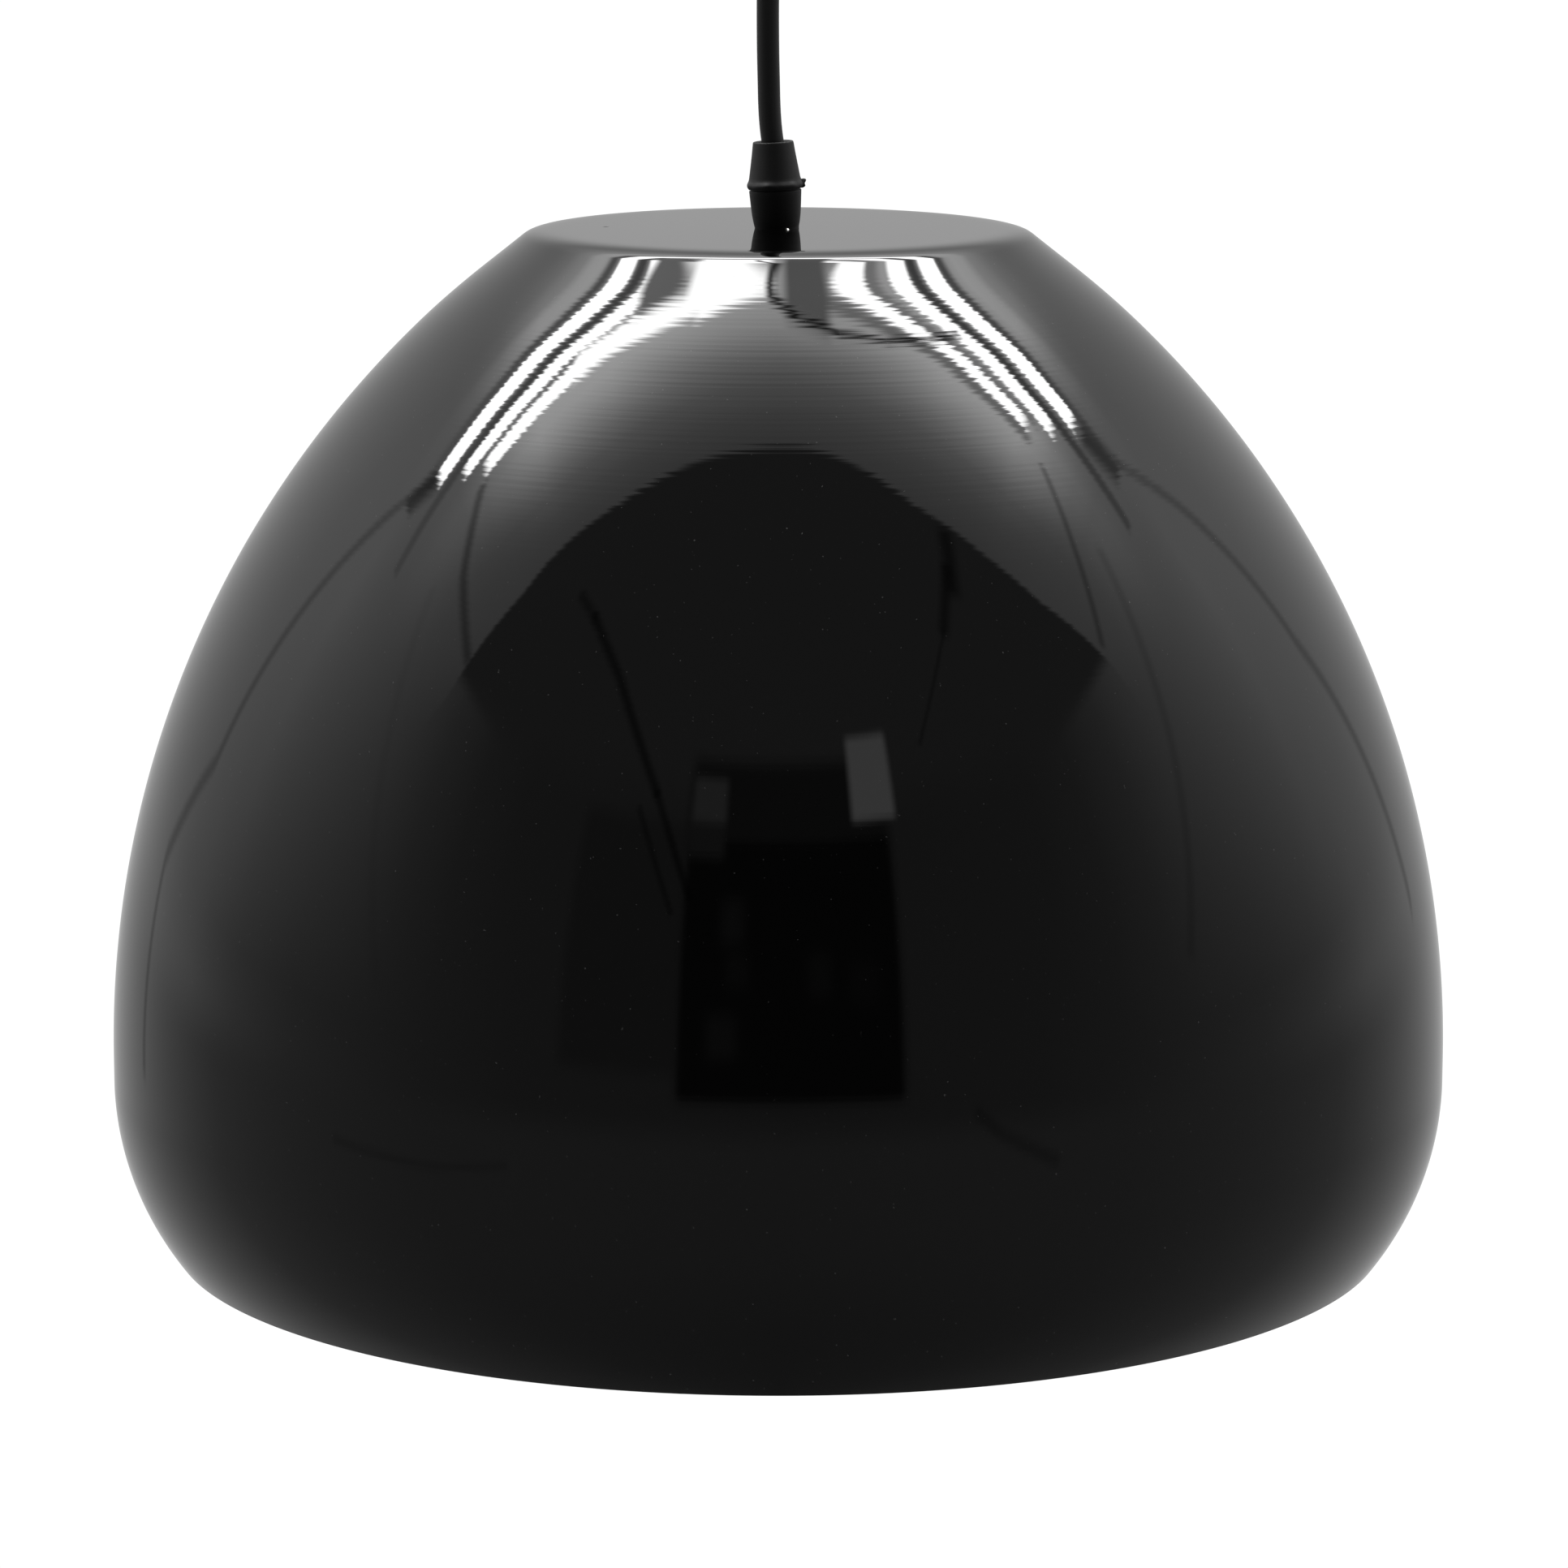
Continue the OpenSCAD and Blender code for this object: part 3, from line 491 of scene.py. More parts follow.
def inner_enamel():
    made, shader = material("satin_white_enamel", (0.8, 0.79, 0.76), 0.34)
    tree = made.node_tree
    set_color(shader, noise(tree, 40, detail=4), (0.76, 0.75, 0.72), (0.83, 0.82, 0.79))
    set_bump(shader, noise(tree, 900, detail=2), 0.02 * MM)
    return made


def bare_edge():
    made, shader = material("bare_rim", (0.35, 0.35, 0.35), 0.28, metallic=1.0)
    set_color(shader, noise(made.node_tree, 600, detail=3), (0.2, 0.2, 0.2), (0.5, 0.5, 0.5))
    return made


def moulded(name, low, high, roughness, grain=2600, depth=0.02 * MM, streak=(1, 1, 0.12),
        ior=1.5):
    """Moulded plastic or rubber: fine grain, faint streaks along its height."""
    made, shader = material(name, low, roughness, ior=ior)
    tree = made.node_tree
    streaks = noise(tree, 700, detail=4, stretch=streak)
    set_color(shader, streaks, low, high)
    set_roughness(shader, noise(tree, 1500, detail=3) * 0.16 + (roughness - 0.08))
    set_bump(shader, noise(tree, grain, detail=3) + streaks * 0.7, depth)
    return made


def metal(name, low, high, roughness, grain=500):
    """Bare or plated metal, with a cloudy tone and fine scratches."""
    made, shader = material(name, low, roughness, metallic=1.0)
    tree = made.node_tree
    set_color(shader, noise(tree, grain, detail=5).rise(0.3, 0.7), low, high)
    set_roughness(shader, noise(tree, grain * 2.3, detail=4) * 0.22 + (roughness - 0.1))
    set_bump(shader, noise(tree, grain * 6, detail=2), 0.006 * MM)
    return made


def glazed(name, low, high, roughness=0.16):
    """A smooth glaze or paint with a slight waviness."""
    made, shader = material(name, low, roughness)
    tree = made.node_tree
    set_color(shader, noise(tree, 160, detail=4), low, high)
    set_bump(shader, noise(tree, 500, detail=2), 0.04 * MM)
    return made


def clear_glass():
    made, shader = material("clear_glass", (0.98, 0.99, 0.985), 0.0, Transmission_Weight=1.0)
    set_bump(shader, noise(made.node_tree, 70, detail=1), 0.05 * MM)
    return made


def phosphor():
    made, shader = material("phosphor", (0.85, 0.55, 0.12), 0.6, Subsurface_Weight=0.2)
    tree = made.node_tree
    set_color(shader, noise(tree, 900, detail=3), (0.8, 0.46, 0.07), (0.92, 0.66, 0.2))
    set_bump(shader, noise(tree, 2500, detail=2), 0.05 * MM)
    return made


MATERIALS = {}


def make_materials():
    MATERIALS.update({
        "black_enamel": enamel(),
        "inner_enamel": inner_enamel(),
        "bare_rim": bare_edge(),
        "cup_inside": glazed("cup_inside", (0.01, 0.01, 0.01), (0.018, 0.018, 0.018), 0.45),
        "cap_plastic": moulded("grip_cap_plastic", (0.006, 0.006, 0.0063),
            (0.011, 0.011, 0.0115), 0.6),
        # Painted shade: the grip body is the cap's black plastic made darker, standing for the
        # shade on its downward-facing cone
        "black_plastic": moulded("grip_body_plastic_painted_shade", (0.0015, 0.0015, 0.0016),
            (0.003, 0.003, 0.0032), 0.5, ior=1.4),
        "cord_sheath": moulded("cord_sheath", (0.006, 0.006, 0.0062), (0.011, 0.011, 0.0112), 0.5,
            grain=3000, depth=0.015 * MM, streak=(1, 1, 0.04)),
        "phenolic": moulded("phenolic", (0.006, 0.005, 0.0045), (0.012, 0.010, 0.009), 0.3,
            depth=0.008 * MM),
        "white_plastic": moulded("white_plastic", (0.72, 0.72, 0.69), (0.8, 0.8, 0.77), 0.4),
        "nylon": moulded("nylon", (0.66, 0.65, 0.6), (0.78, 0.77, 0.72), 0.5),
        "porcelain": glazed("porcelain", (0.76, 0.74, 0.69), (0.86, 0.85, 0.81)),
        "zinc": metal("zinc_plate", (0.42, 0.43, 0.44), (0.62, 0.63, 0.64), 0.34, grain=260),
        "nickel": metal("nickel_plate", (0.55, 0.54, 0.51), (0.72, 0.7, 0.67), 0.2),
        "brass": metal("brass", (0.55, 0.38, 0.14), (0.75, 0.56, 0.26), 0.26),
        "solder": metal("solder", (0.4, 0.4, 0.41), (0.6, 0.6, 0.6), 0.4, grain=900),
        "core_brown": moulded("core_brown", (0.10, 0.035, 0.013), (0.14, 0.05, 0.02), 0.4),
        "core_blue": moulded("core_blue", (0.02, 0.09, 0.36), (0.03, 0.12, 0.42), 0.4),
        "core_green": moulded("core_green", (0.12, 0.3, 0.03), (0.2, 0.42, 0.05), 0.4),
        "clear_glass": clear_glass(),
        "black_glass": glazed("black_glass", (0.015, 0.014, 0.02), (0.03, 0.028, 0.035), 0.12),
        "phosphor": phosphor(),
    })


# ---------------------------------------------------------------- mesh building

def new_object(name, vertices, faces, materials, sharp=40, arcs=None, face_slots=None):
    """A mesh object; arcs is each vertex's way along its outline, for spun_ripples."""
    mesh = bpy.data.meshes.new(name)
    mesh.from_pydata(vertices, [], faces)
    if arcs:
        spread = mesh.attributes.new("arc", "FLOAT", "POINT")
        spread.data.foreach_set("value", arcs)
    for key in materials:
        mesh.materials.append(MATERIALS[key])
    if face_slots:
        mesh.polygons.foreach_set("material_index", face_slots)
    mesh.validate()
    mesh.shade_smooth()
    mesh.set_sharp_from_angle(angle=math.radians(sharp))
    made = bpy.data.objects.new(name, mesh)
    bpy.context.scene.collection.objects.link(made)
    return made


def lathe(name, outline, keys, steps=96, closed=True, at=Matrix(), sharp=40, shape=None,
          slots=None):
    """A turned piece. outline is (r, z) points in order; a closed one is a ring's section.

    shape(angle, r, z) may move a point. slots gives each strip's material number.
    """
    vertices, arcs, rings = [], [], []
    travelled = 0
    for index, (r, z) in enumerate(outline):
        if index:
            travelled += math.dist(outline[index - 1], (r, z))
        rings.append(len(vertices))
        count = 1 if r < ON_AXIS else steps
        for step in range(count):
            angle = TURN * step / steps
            radius, height = shape(angle, r, z) if shape else (r, z)
            vertices.append(
                at @ Vector((radius * math.cos(angle), radius * math.sin(angle), height)))
            arcs.append(travelled)
    faces, face_slots = [], []
    last = len(outline) if closed else len(outline) - 1
    for index in range(last):
        after = (index + 1) % len(outline)
        a, b = rings[index], rings[after]
        point_a = outline[index][0] < ON_AXIS
        point_b = outline[after][0] < ON_AXIS
        if point_a and point_b:
            continue
        for step in range(steps):
            near = (step + 1) % steps
            if point_a:
                faces.append((a, b + step, b + near))
            elif point_b:
                faces.append((a + step, b, a + near))
            else:
                faces.append((a + step, b + step, b + near, a + near))
            face_slots.append(slots[index] if slots else 0)
    return new_object(name, vertices, faces, keys, sharp, arcs, face_slots)


def in_metres(outline):
    """An outline given in millimetres, in the frame's metres."""
    return [(r * MM, z * MM) for r, z in outline]


def evenly(first, last, count):
    """Numbers from first to last in that many even steps."""
    return [first + (last - first) * k / count for k in range(count + 1)]


def quarter(r, z, radius, count):
    """A quarter circle about (r, z), from straight down to straight out."""
    angles = evenly(0, TURN / 4, count)
    return [(r + radius * math.sin(angle), z - radius * math.cos(angle)) for angle in angles]


def bar_faces(rows):
    """Faces of a closed bar whose vertices come in rows of four round it."""
    faces = []
    for row in range(rows - 1):
        for corner in range(4):
            a, b = row * 4 + corner, row * 4 + (corner + 1) % 4
            faces.append((a, b, b + 4, a + 4))
    end = (rows - 1) * 4
    return faces + [(3, 2, 1, 0), (end, end + 1, end + 2, end + 3)]


ROUND_STEPS = 3


def rounded(corners, radius):
    """The closed outline with each corner cut back to a small arc."""
    points = []
    count = len(corners)
    for index, corner in enumerate(corners):
        here = Vector(corner)
        before = Vector(corners[index - 1]) - here
        after = Vector(corners[(index + 1) % count]) - here
        if here.x < ON_AXIS:
            points.append(tuple(here))
            continue
        reach = min(radius, before.length * 0.45, after.length * 0.45)
        start = here + before.normalized() * reach
        end = here + after.normalized() * reach
        for t in evenly(0, 1, ROUND_STEPS):
            point = start * (1 - t) ** 2 + here * (2 * t * (1 - t)) + end * t ** 2
            points.append((point.x, point.y))
    return points


def add(piece, body, slot, *nodes):
    """Hands the piece to its body and hides the CAD nodes it stands for. Its slot is not used."""
    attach(piece, body)
    if nodes:
        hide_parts(*nodes)
    return piece


def join_into(name, parts):
    """One mesh object from several, keeping their materials."""
    bpy.ops.object.select_all(action="DESELECT")
    for part in parts:
        part.select_set(True)
    bpy.context.view_layer.objects.active = parts[0]
    bpy.ops.object.join()
    parts[0].name = name
    return parts[0]


def smooth_curve(name, route, radius, key, resolution=8):
    """A round wire through the route's points, as one smooth open spline."""
    data = bpy.data.curves.new(name, "CURVE")
    data.dimensions = "3D"
    data.bevel_depth = radius
    data.bevel_resolution = 6
    data.use_fill_caps = True
    data.resolution_u = resolution
    spline = data.splines.new("BEZIER")
    spline.bezier_points.add(len(route) - 1)
    for point, place in zip(spline.bezier_points, route):
        point.co = place
        point.handle_left_type = "AUTO"
        point.handle_right_type = "AUTO"
    data.materials.append(MATERIALS[key])
    made = bpy.data.objects.new(name, data)
    bpy.context.scene.collection.objects.link(made)
    return made


# ---------------------------------------------------------------- cord

CORD_ROUTE = [(-1.3, 101), (-1.6, 98), (-2, 94), (-2.5, 89), (-2.8, 81), (-3, 70), (-3, 55),
    (-2.8, 44), (-2.5, 34), (-2.1, 29), (-1.7, 25.8), (-1.4, 23.1)]


def make_cord():
    """The taut cord between the two grips; CORD_ROUTE is (x, height over the shade) in mm."""
    route = [(x * MM, 0, SHADE_TOP + h * MM) for x, h in reversed(CORD_ROUTE)]
    cord = smooth_curve("free_cord", route, CORD_R, "cord_sheath", resolution=10)
    add(cord, "cord", "cord_sheath", "cord")


# ---------------------------------------------------------------- shade

# The disc droops over SHOULDER_L, the dome starts at DOME_START with a steeper neck and a slight
# hollow after it, and then it is an even arc but for the small waves of a spun sheet
SHOULDER_L = 22 * MM
SHOULDER_POWER = 6.2
DOME_START = math.radians(35.9)
NECK_A = math.radians(2.9)
NECK_L = 17 * MM
HOLLOW_A = math.radians(0.55)
HOLLOW_L = 46 * MM
WAVE_A = math.radians(0.09)
WAVE_IN = 15 * MM
WAVE_OUT = 130 * MM
STEP = 1.2 * MM
DISC_STEPS = 8
RIM_STEPS = 40


def shoulder_slope(along):
    """The disc droops a little, then turns down ever faster."""
    return (DOME_START + NECK_A) * (along / SHOULDER_L) ** SHOULDER_POWER


def dome_slope(along):
    """A steady arc, steeper at its start, flatter after that and uneven in its upper half."""
    steeper = NECK_A * max(0, 1 - along / NECK_L) ** 2
    if along < HOLLOW_L:
        steeper -= HOLLOW_A * math.sin(math.pi * along / HOLLOW_L) ** 2
    uneven = math.sin(along / (3.1 * MM) + 1) + math.sin(along / (4.9 * MM)) + math.sin(
        along / (8.3 * MM) + 2)
    uneven *= WAVE_A * min(along / WAVE_IN, 1) * max(0, 1 - along / WAVE_OUT)
    return DOME_START + along / DOME_R + steeper + uneven


def walk(start, length, slope):
    """Points from start along a line of the given slope, with the slope at each."""
    count = round(length / STEP)
    stride = length / count
    points = [(*start, slope(0))]
    for step in range(count):
        r, z = points[-1][:2]
        middle = slope(stride * (step + 0.5))
        points.append((r + stride * math.cos(middle), z - stride * math.sin(middle),
            slope(stride * (step + 1))))
    return points


def shade_side():
    """The shade's outside from its flat disc to its rim, as (r, z, slope)."""
    shoulder = walk((0, 0), SHOULDER_L, shoulder_slope)
    dome = walk(shoulder[-1][:2], DOME_R * (math.pi / 2 - DOME_START), dome_slope)
    points = shoulder[:-1] + dome
    move = SHADE_R - points[-1][0]
    points = [(r + move, z, slope) for r, z, slope in points]
    band_foot = SHADE_FOOT - SHADE_TOP + RIM_ARC_R * math.sin(RIM_A)
    for turned in evenly(0, RIM_A, RIM_STEPS):
        points.append((SHADE_R - RIM_ARC_R * (1 - math.cos(turned)),
            band_foot - RIM_ARC_R * math.sin(turned), math.pi / 2 + turned))
    return points


def make_shade():
    """One sheet, black outside, bare at its rim and white inside."""
    side = shade_side()
    top = [(r, 0, 0) for r in evenly(HOLE_R, side[0][0], DISC_STEPS)[:-1]]
    outside = top + side
    inside = [(r - SHEET * math.sin(slope), z - SHEET * math.cos(slope))
        for r, z, slope in reversed(outside)]
    outline = [point[:2] for point in outside] + inside
    slots = [0] * (len(outside) - 1) + [1] + [2] * len(inside)
    at = Matrix.Translation((0, 0, SHADE_TOP))
    shade = lathe("spun_shade", outline, ["black_enamel", "bare_rim", "inner_enamel"], steps=256,
        at=at, sharp=30, slots=slots)
    add(shade, "lamp", "black_enamel", "shade")


# ---------------------------------------------------------------- cord grips

def on_lamp():
    """Where the lamp's grip stands, leaning with the cord."""
    return (Matrix.Translation((0, 0, SHADE_TOP - GRIP_LEAN_DEPTH))
        @ Matrix.Rotation(-GRIP_LEAN, 4, "Y")
        @ Matrix.Translation((0, 0, GRIP_LEAN_DEPTH + FOOT_GAP)))


def on_canopy():
    """Where the canopy's grip hangs, upside down, leaning the other way."""
    foot = CUP_FOOT - FOOT_GAP
    return (Matrix.Translation((0, 0, foot + GRIP_LEAN_DEPTH))
        @ Matrix.Rotation(GRIP_LEAN, 4, "Y")
        @ Matrix.Translation((0, 0, -GRIP_LEAN_DEPTH))
        @ Matrix.Rotation(math.pi, 4, "X"))


# Share of the gap under its foot that the visible foot fills
FOOT_REACH = 0.93


def make_grip_body(name, at, body, node):
    """The lower cone, with the threaded neck that its cap screws onto."""
    outline = rounded([(3.9, 8), (5.05, 8), (5.05, -0.38), (6.45, -0.4), (6.6, -0.1), (6.9, 1.3),
        (7.2, 3.4), (7.42, 5.8), (7.6, 8.4), (7.74, 10.5), (7.33, 10.6), (7.33, 11.6), (5.9, 11.7),
        (5.9, 17), (3.9, 17)], 0.25)

    def sit(angle, r, z):
        """The foot ends level with what it stands on, though the grip leans."""
        if z > -0.2 * MM:
            return r, z
        return r, -FOOT_REACH * FOOT_GAP - r * math.cos(angle) * math.sin(GRIP_LEAN)

    # Its black plastic is a darker copy of the cap's: painted shade
    piece = lathe(name, in_metres(outline), ["black_plastic"], steps=128, at=at, sharp=50,
        shape=sit)
    add(piece, body, "black_plastic", node)


def wavy_lip(angle, r, z):
    """The cap's lower edge isn't quite true: it waves a little all round."""
    low = GRIP_H - CAP_H
    near = max(0, 1 - abs(z - low - 0.2 * MM) / (1.9 * MM))
    out = max(0, (r - 7.5 * MM) / (0.7 * MM))
    wave = (math.sin(3 * angle + 0.6) * 0.12 + math.sin(7 * angle + 2) * 0.08
        + math.sin(13 * angle) * 0.05)
    return r + near * min(out, 1) * wave * MM, z + near * wave * 0.9 * MM


def make_flash(name, at, angle):
    """The torn tab of moulding flash that stands out from the cap's lip, in two prongs."""
    rows = [(-1.6, 7.9, -0.2, 0.5), (-1.0, 8.5, -0.3, 1.1), (-0.5, 9.0, 0.2, 1.9),
        (0, 9.55, 1.1, 2.7), (0.4, 9.2, 0.9, 2.3), (0.8, 8.7, 0.3, 1.2), (1.2, 9.1, -0.6, 0.6),
        (1.6, 8.7, -0.6, 0.4), (2.1, 7.9, -0.3, 0.3)]
    low = GRIP_H - CAP_H - 0.6 * MM
    vertices = []
    for side, reach, base, top in rows:
        for r, z in ((7.2, base - 0.2), (reach, base + 0.3), (reach, top), (7.1, top - 0.2)):
            spot = Vector((r * MM, side * MM, low + z * MM))
            vertices.append(at @ (Matrix.Rotation(angle, 4, "Z") @ spot))
    piece = new_object(name, vertices, bar_faces(len(rows)), ["cap_plastic"], 60)
    soften = piece.modifiers.new("soften", "SUBSURF")
    soften.levels = soften.render_levels = 2
    return piece


def make_grip_cap(name, at, body, node, flash_angle):
    """The upper cone: a lip over the body's shoulder, and a flared mouth for the cord."""
    low = (GRIP_H - CAP_H) / MM
    high = GRIP_H / MM + 0.6
    lip = [(5.98, low - 0.05), (7.42, low - 0.05), (7.5, low - 0.9), (7.75, low - 0.98),
        (8.1, low - 0.6), (8.4, low - 0.1), (8.42, low + 0.4), (8.15, low + 0.95),
        (7.8, low + 1.5), (7.58, low + 2.2)]
    cone = [(6.98, low + 6), (6.42, low + 9.6), (6.02, high - 0.4), (5.9, high - 0.1)]
    mouth = [(5.6, high), (5.25, high - 0.12), (4.9, high - 0.8), (4.4, high - 2),
        (4.0, high - 3.1), (3.8, high - 4.4), (5.98, high - 4.4)]
    outline = in_metres(rounded(lip + cone + mouth, 0.3))
    cap = lathe(name, outline, ["cap_plastic"], steps=192, at=at, sharp=50, shape=wavy_lip)
    flash = make_flash(name + "_flash", at, flash_angle)
    add(cap, body, "black_plastic", node)
    add(flash, body, "black_plastic")


def make_grips():
    make_grip_body("lamp_grip_body", on_lamp(), "lamp", "grip_body")
    make_grip_cap("lamp_grip_cap", on_lamp(), "lamp_cap", "grip_cap", -0.12)
    make_grip_body("ceiling_grip_body", on_canopy(), "canopy", "canopy_grip_body")
    make_grip_cap("ceiling_grip_cap", on_canopy(), "canopy_cap", "canopy_grip_cap", 2.4)


TAB_START = math.radians(-74)
TAB_SPAN = math.radians(14)
TAB_ROWS = 9


def make_top_washer():
    """The washer under the grip's foot, with the one bright tab of it that can be seen."""
    outline = rounded([(5.1, 0.02), (5.7, 0.02), (5.7, 0.3), (5.1, 0.3)], 0.12)
    at = Matrix.Translation((0, 0, SHADE_TOP))
    ring = lathe("bright_washer", in_metres(outline), ["nickel"], at=at)
    vertices = []
    for share in evenly(0, 1, TAB_ROWS - 1):
        angle = TAB_START + TAB_SPAN * share
        bulge = 0.28 * max(0, math.sin(math.pi * share)) ** 0.5
        for r, z in ((5.5, 0.05), (7.0 + bulge, 0.05), (6.6, 0.1 + 1.8 * bulge), (5.5, 0.1)):
            vertices.append(at @ (Vector((r * math.cos(angle), r * math.sin(angle), z)) * MM))
    tab = new_object("washer_tab", vertices, bar_faces(TAB_ROWS), ["nickel"], 40)
    washer = join_into("bright_washer", [ring, tab])
    add(washer, "lamp", "nickel", "top_washer")


# ---------------------------------------------------------------- canopy

def carve(piece, cutter):
    """Cuts the cutter's shape out of the piece."""
    cut = piece.modifiers.new("cut", "BOOLEAN")
    cut.operation = "DIFFERENCE"
    cut.solver = "EXACT"
    cut.object = cutter
    bpy.context.view_layer.objects.active = piece
    bpy.ops.object.modifier_apply(modifier=cut.name)
    bpy.data.objects.remove(cutter)


def block(name, size, at, key):
    """A plain box, used only to cut with."""
    corners = [Vector((x, y, z)) for x in (-0.5, 0.5) for y in (-0.5, 0.5) for z in (-0.5, 0.5)]
    vertices = [at @ Vector((c.x * size[0], c.y * size[1], c.z * size[2])) for c in corners]
    faces = [(0, 1, 3, 2), (4, 6, 7, 5), (0, 4, 5, 1), (2, 3, 7, 6), (0, 2, 6, 4), (1, 5, 7, 3)]
    return new_object(name, vertices, faces, [key])


CUP_CORNER = 6 * MM


def make_cup():
    """The pressed cup, with rounded corners and a soft rim."""
    wall, rim = CUP_WALL, CUP_RIM
    mid_r, mid_z = CUP_R - CUP_CORNER, CUP_FOOT + CUP_CORNER
    outside = [(HOLE_R, CUP_FOOT)] + quarter(mid_r, mid_z, CUP_CORNER, 12)
    outside += [(CUP_R, rim - 0.7 * MM), (CUP_R - 0.2 * MM, rim - 0.2 * MM),
        (CUP_R - wall / 2, rim), (CUP_R - wall + 0.2 * MM, rim - 0.2 * MM),
        (CUP_R - wall, rim - 0.7 * MM)]
    inside = quarter(mid_r, mid_z, CUP_CORNER - wall, 8)[::-1] + [(HOLE_R, CUP_FOOT + wall)]
    slots = [0] * (len(outside) - 3) + [1] * (len(inside) + 3)
    cup = lathe("ceiling_cup", outside + inside, ["black_enamel", "cup_inside"], steps=192,
        sharp=35, slots=slots)
    add(cup, "canopy", "black_enamel", "canopy_cup")


SLOT_SIZE = (3.6 * MM, 0.75 * MM, 1.8 * MM)
SLOT_Z = 1.9 * MM
SLOT_TURN = 0.4


def make_side_screws():
    """Two cross-slotted screws that hold the cup on its bracket."""
    outline = in_metres([(0, 2.0), (1.2, 1.96), (2.2, 1.75), (2.9, 1.35), (3.3, 0.75),
        (3.4, 0.25), (3.3, 0.02), (1.9, 0.0), (1.9, -5.6), (1.5, -6.0), (0, -6.0)])
    parts = []
    for side in (0, math.pi):
        at = (Matrix.Rotation(side, 4, "Z") @ Matrix.Translation((CUP_R, 0, SIDE_SCREW_Z))
            @ Matrix.Rotation(TURN / 4, 4, "Y"))
        screw = lathe("side_screw", outline, ["nickel"], steps=64, closed=False, at=at, sharp=35)
        for turned in (SLOT_TURN, SLOT_TURN + TURN / 4):
            slot_at = at @ Matrix.Rotation(turned, 4, "Z") @ Matrix.Translation((0, 0, SLOT_Z))
            carve(screw, block("slot_cutter", SLOT_SIZE, slot_at, "nickel"))
        parts.append(screw)
    screws = join_into("side_screws", parts)
    add(screws, "canopy", "nickel", "canopy_side_screws")


def threaded_stem(name, at, low, high, body, node):
    """A hollow M10 stem with a real 1 mm thread."""
    pitch, outer, bore = 1.0, 5.0, 3.75
    wall = [(outer, z) for z in evenly(low, high, int((high - low) / pitch * 8))]
    outline = [(bore, low + 0.4), (bore + 0.4, low), (outer - 0.6, low)] + wall
    outline += [(outer - 0.6, high), (bore + 0.4, high), (bore, high - 0.4)]

    def thread(angle, r, z):
        if r < (outer - 0.1) * MM:
            return r, z
        wave = 0.5 - 0.5 * math.cos(TURN * (z / MM / pitch) - angle)
        return r - 0.5 * MM * wave, z

    stem = lathe(name, in_metres(outline), ["zinc"], steps=48, at=at, sharp=60, shape=thread)
    add(stem, body, "zinc", node)


def make_stems():
    threaded_stem("lamp_stem", on_lamp(), -12.95, 7.6, "lamp", "nipple")
    threaded_stem("ceiling_stem", on_canopy(), -8.75, 7.6, "canopy", "canopy_nipple")


# Routes of the three cores in mm, from where the sheath ends to their terminals
CORES = {
    "live": ("core_brown", [(-1.3, 0.8, -14.2), (-1.6, 0.8, -16.5), (-3.2, 0.5, -19.3),
        (-5.2, 0.2, -20.7), (-7.4, 0, -21)]),
    "neutral": ("core_blue", [(1.4, 0.8, -14.2), (1.7, 0.8, -16.5), (3.2, 0.5, -19.3),
        (5.2, 0.2, -20.7), (7.4, 0, -21)]),
    "earth": ("core_green", [(0, -1.6, -14.2), (0, -2, -16.5), (0, -4, -18.5), (0, -7, -19),
        (0, -9.5, -17.5), (0, -10.5, -14)]),
}
CEILING_CORES = {
    "live": ("core_brown", [(0.8, -1.3, -14.8), (0.8, -1.6, -12.5), (1.2, -3.5, -10),
        (3, -8, -9.3), (6, -12.5, -9), (10, -14, -9), (13.5, -13, -9), (14.5, -10, -9),
        (14.5, -6, -9)]),
    "neutral": ("core_blue", [(0.8, 1.3, -14.8), (0.8, 1.6, -12.5), (1.2, 3.5, -10), (3, 8, -9.3),
        (6, 12.5, -9), (12, 15, -9), (18, 15, -9), (21.5, 13, -9), (22.5, 10, -9), (22.5, 6, -9)]),
    "earth": ("core_green", [(-1.6, 0, -14.8), (-1.8, 0, -12.5), (-2.8, 0, -9), (-4.5, 0, -6),
        (-6.8, 0, -4.1), (-10, 0, -3.6)]),
}
CORE_R = 1.1 * MM


def make_cores():
    for body, routes, piece, node, top in (
            ("lamp", CORES, "lamp_core_", "core_", SHADE_TOP),
            ("canopy", CEILING_CORES, "ceiling_core_", "canopy_core_", 0)):
        for name, (slot, route) in routes.items():
            points = [(x * MM, y * MM, top + z * MM) for x, y, z in route]
            add(smooth_curve(piece + name, points, CORE_R, slot), body, slot, node + name)


# ---------------------------------------------------------------- lampholder

def down(outline):
    """Points given in millimetres down from the shade's top, as places in the frame."""
    return [(r * MM, SHADE_TOP - depth * MM) for r, depth in outline]


def make_holder_cap():
    outline = [(5.4, 12.5), (5.4, 4.9), (5.7, 4.5), (9.0, 4.5), (9.5, 5.0), (9.5, 7.6), (9.9, 8.2)]
    outline += quarter(11.5, 17.5, 9, 10)
    outline += [(20.5, 18.2), (20.1, 18.6), (20.1, 19.2), (20.5, 19.6), (20.5, 25.4),
        (20.1, 26.0), (18.5, 26.0), (18.5, 14.5), (16.5, 12.5)]
    cap = lathe("holder_cap_shell", down(outline), ["phenolic"], steps=144, sharp=35)
    add(cap, "lamp", "phenolic", "holder_cap")


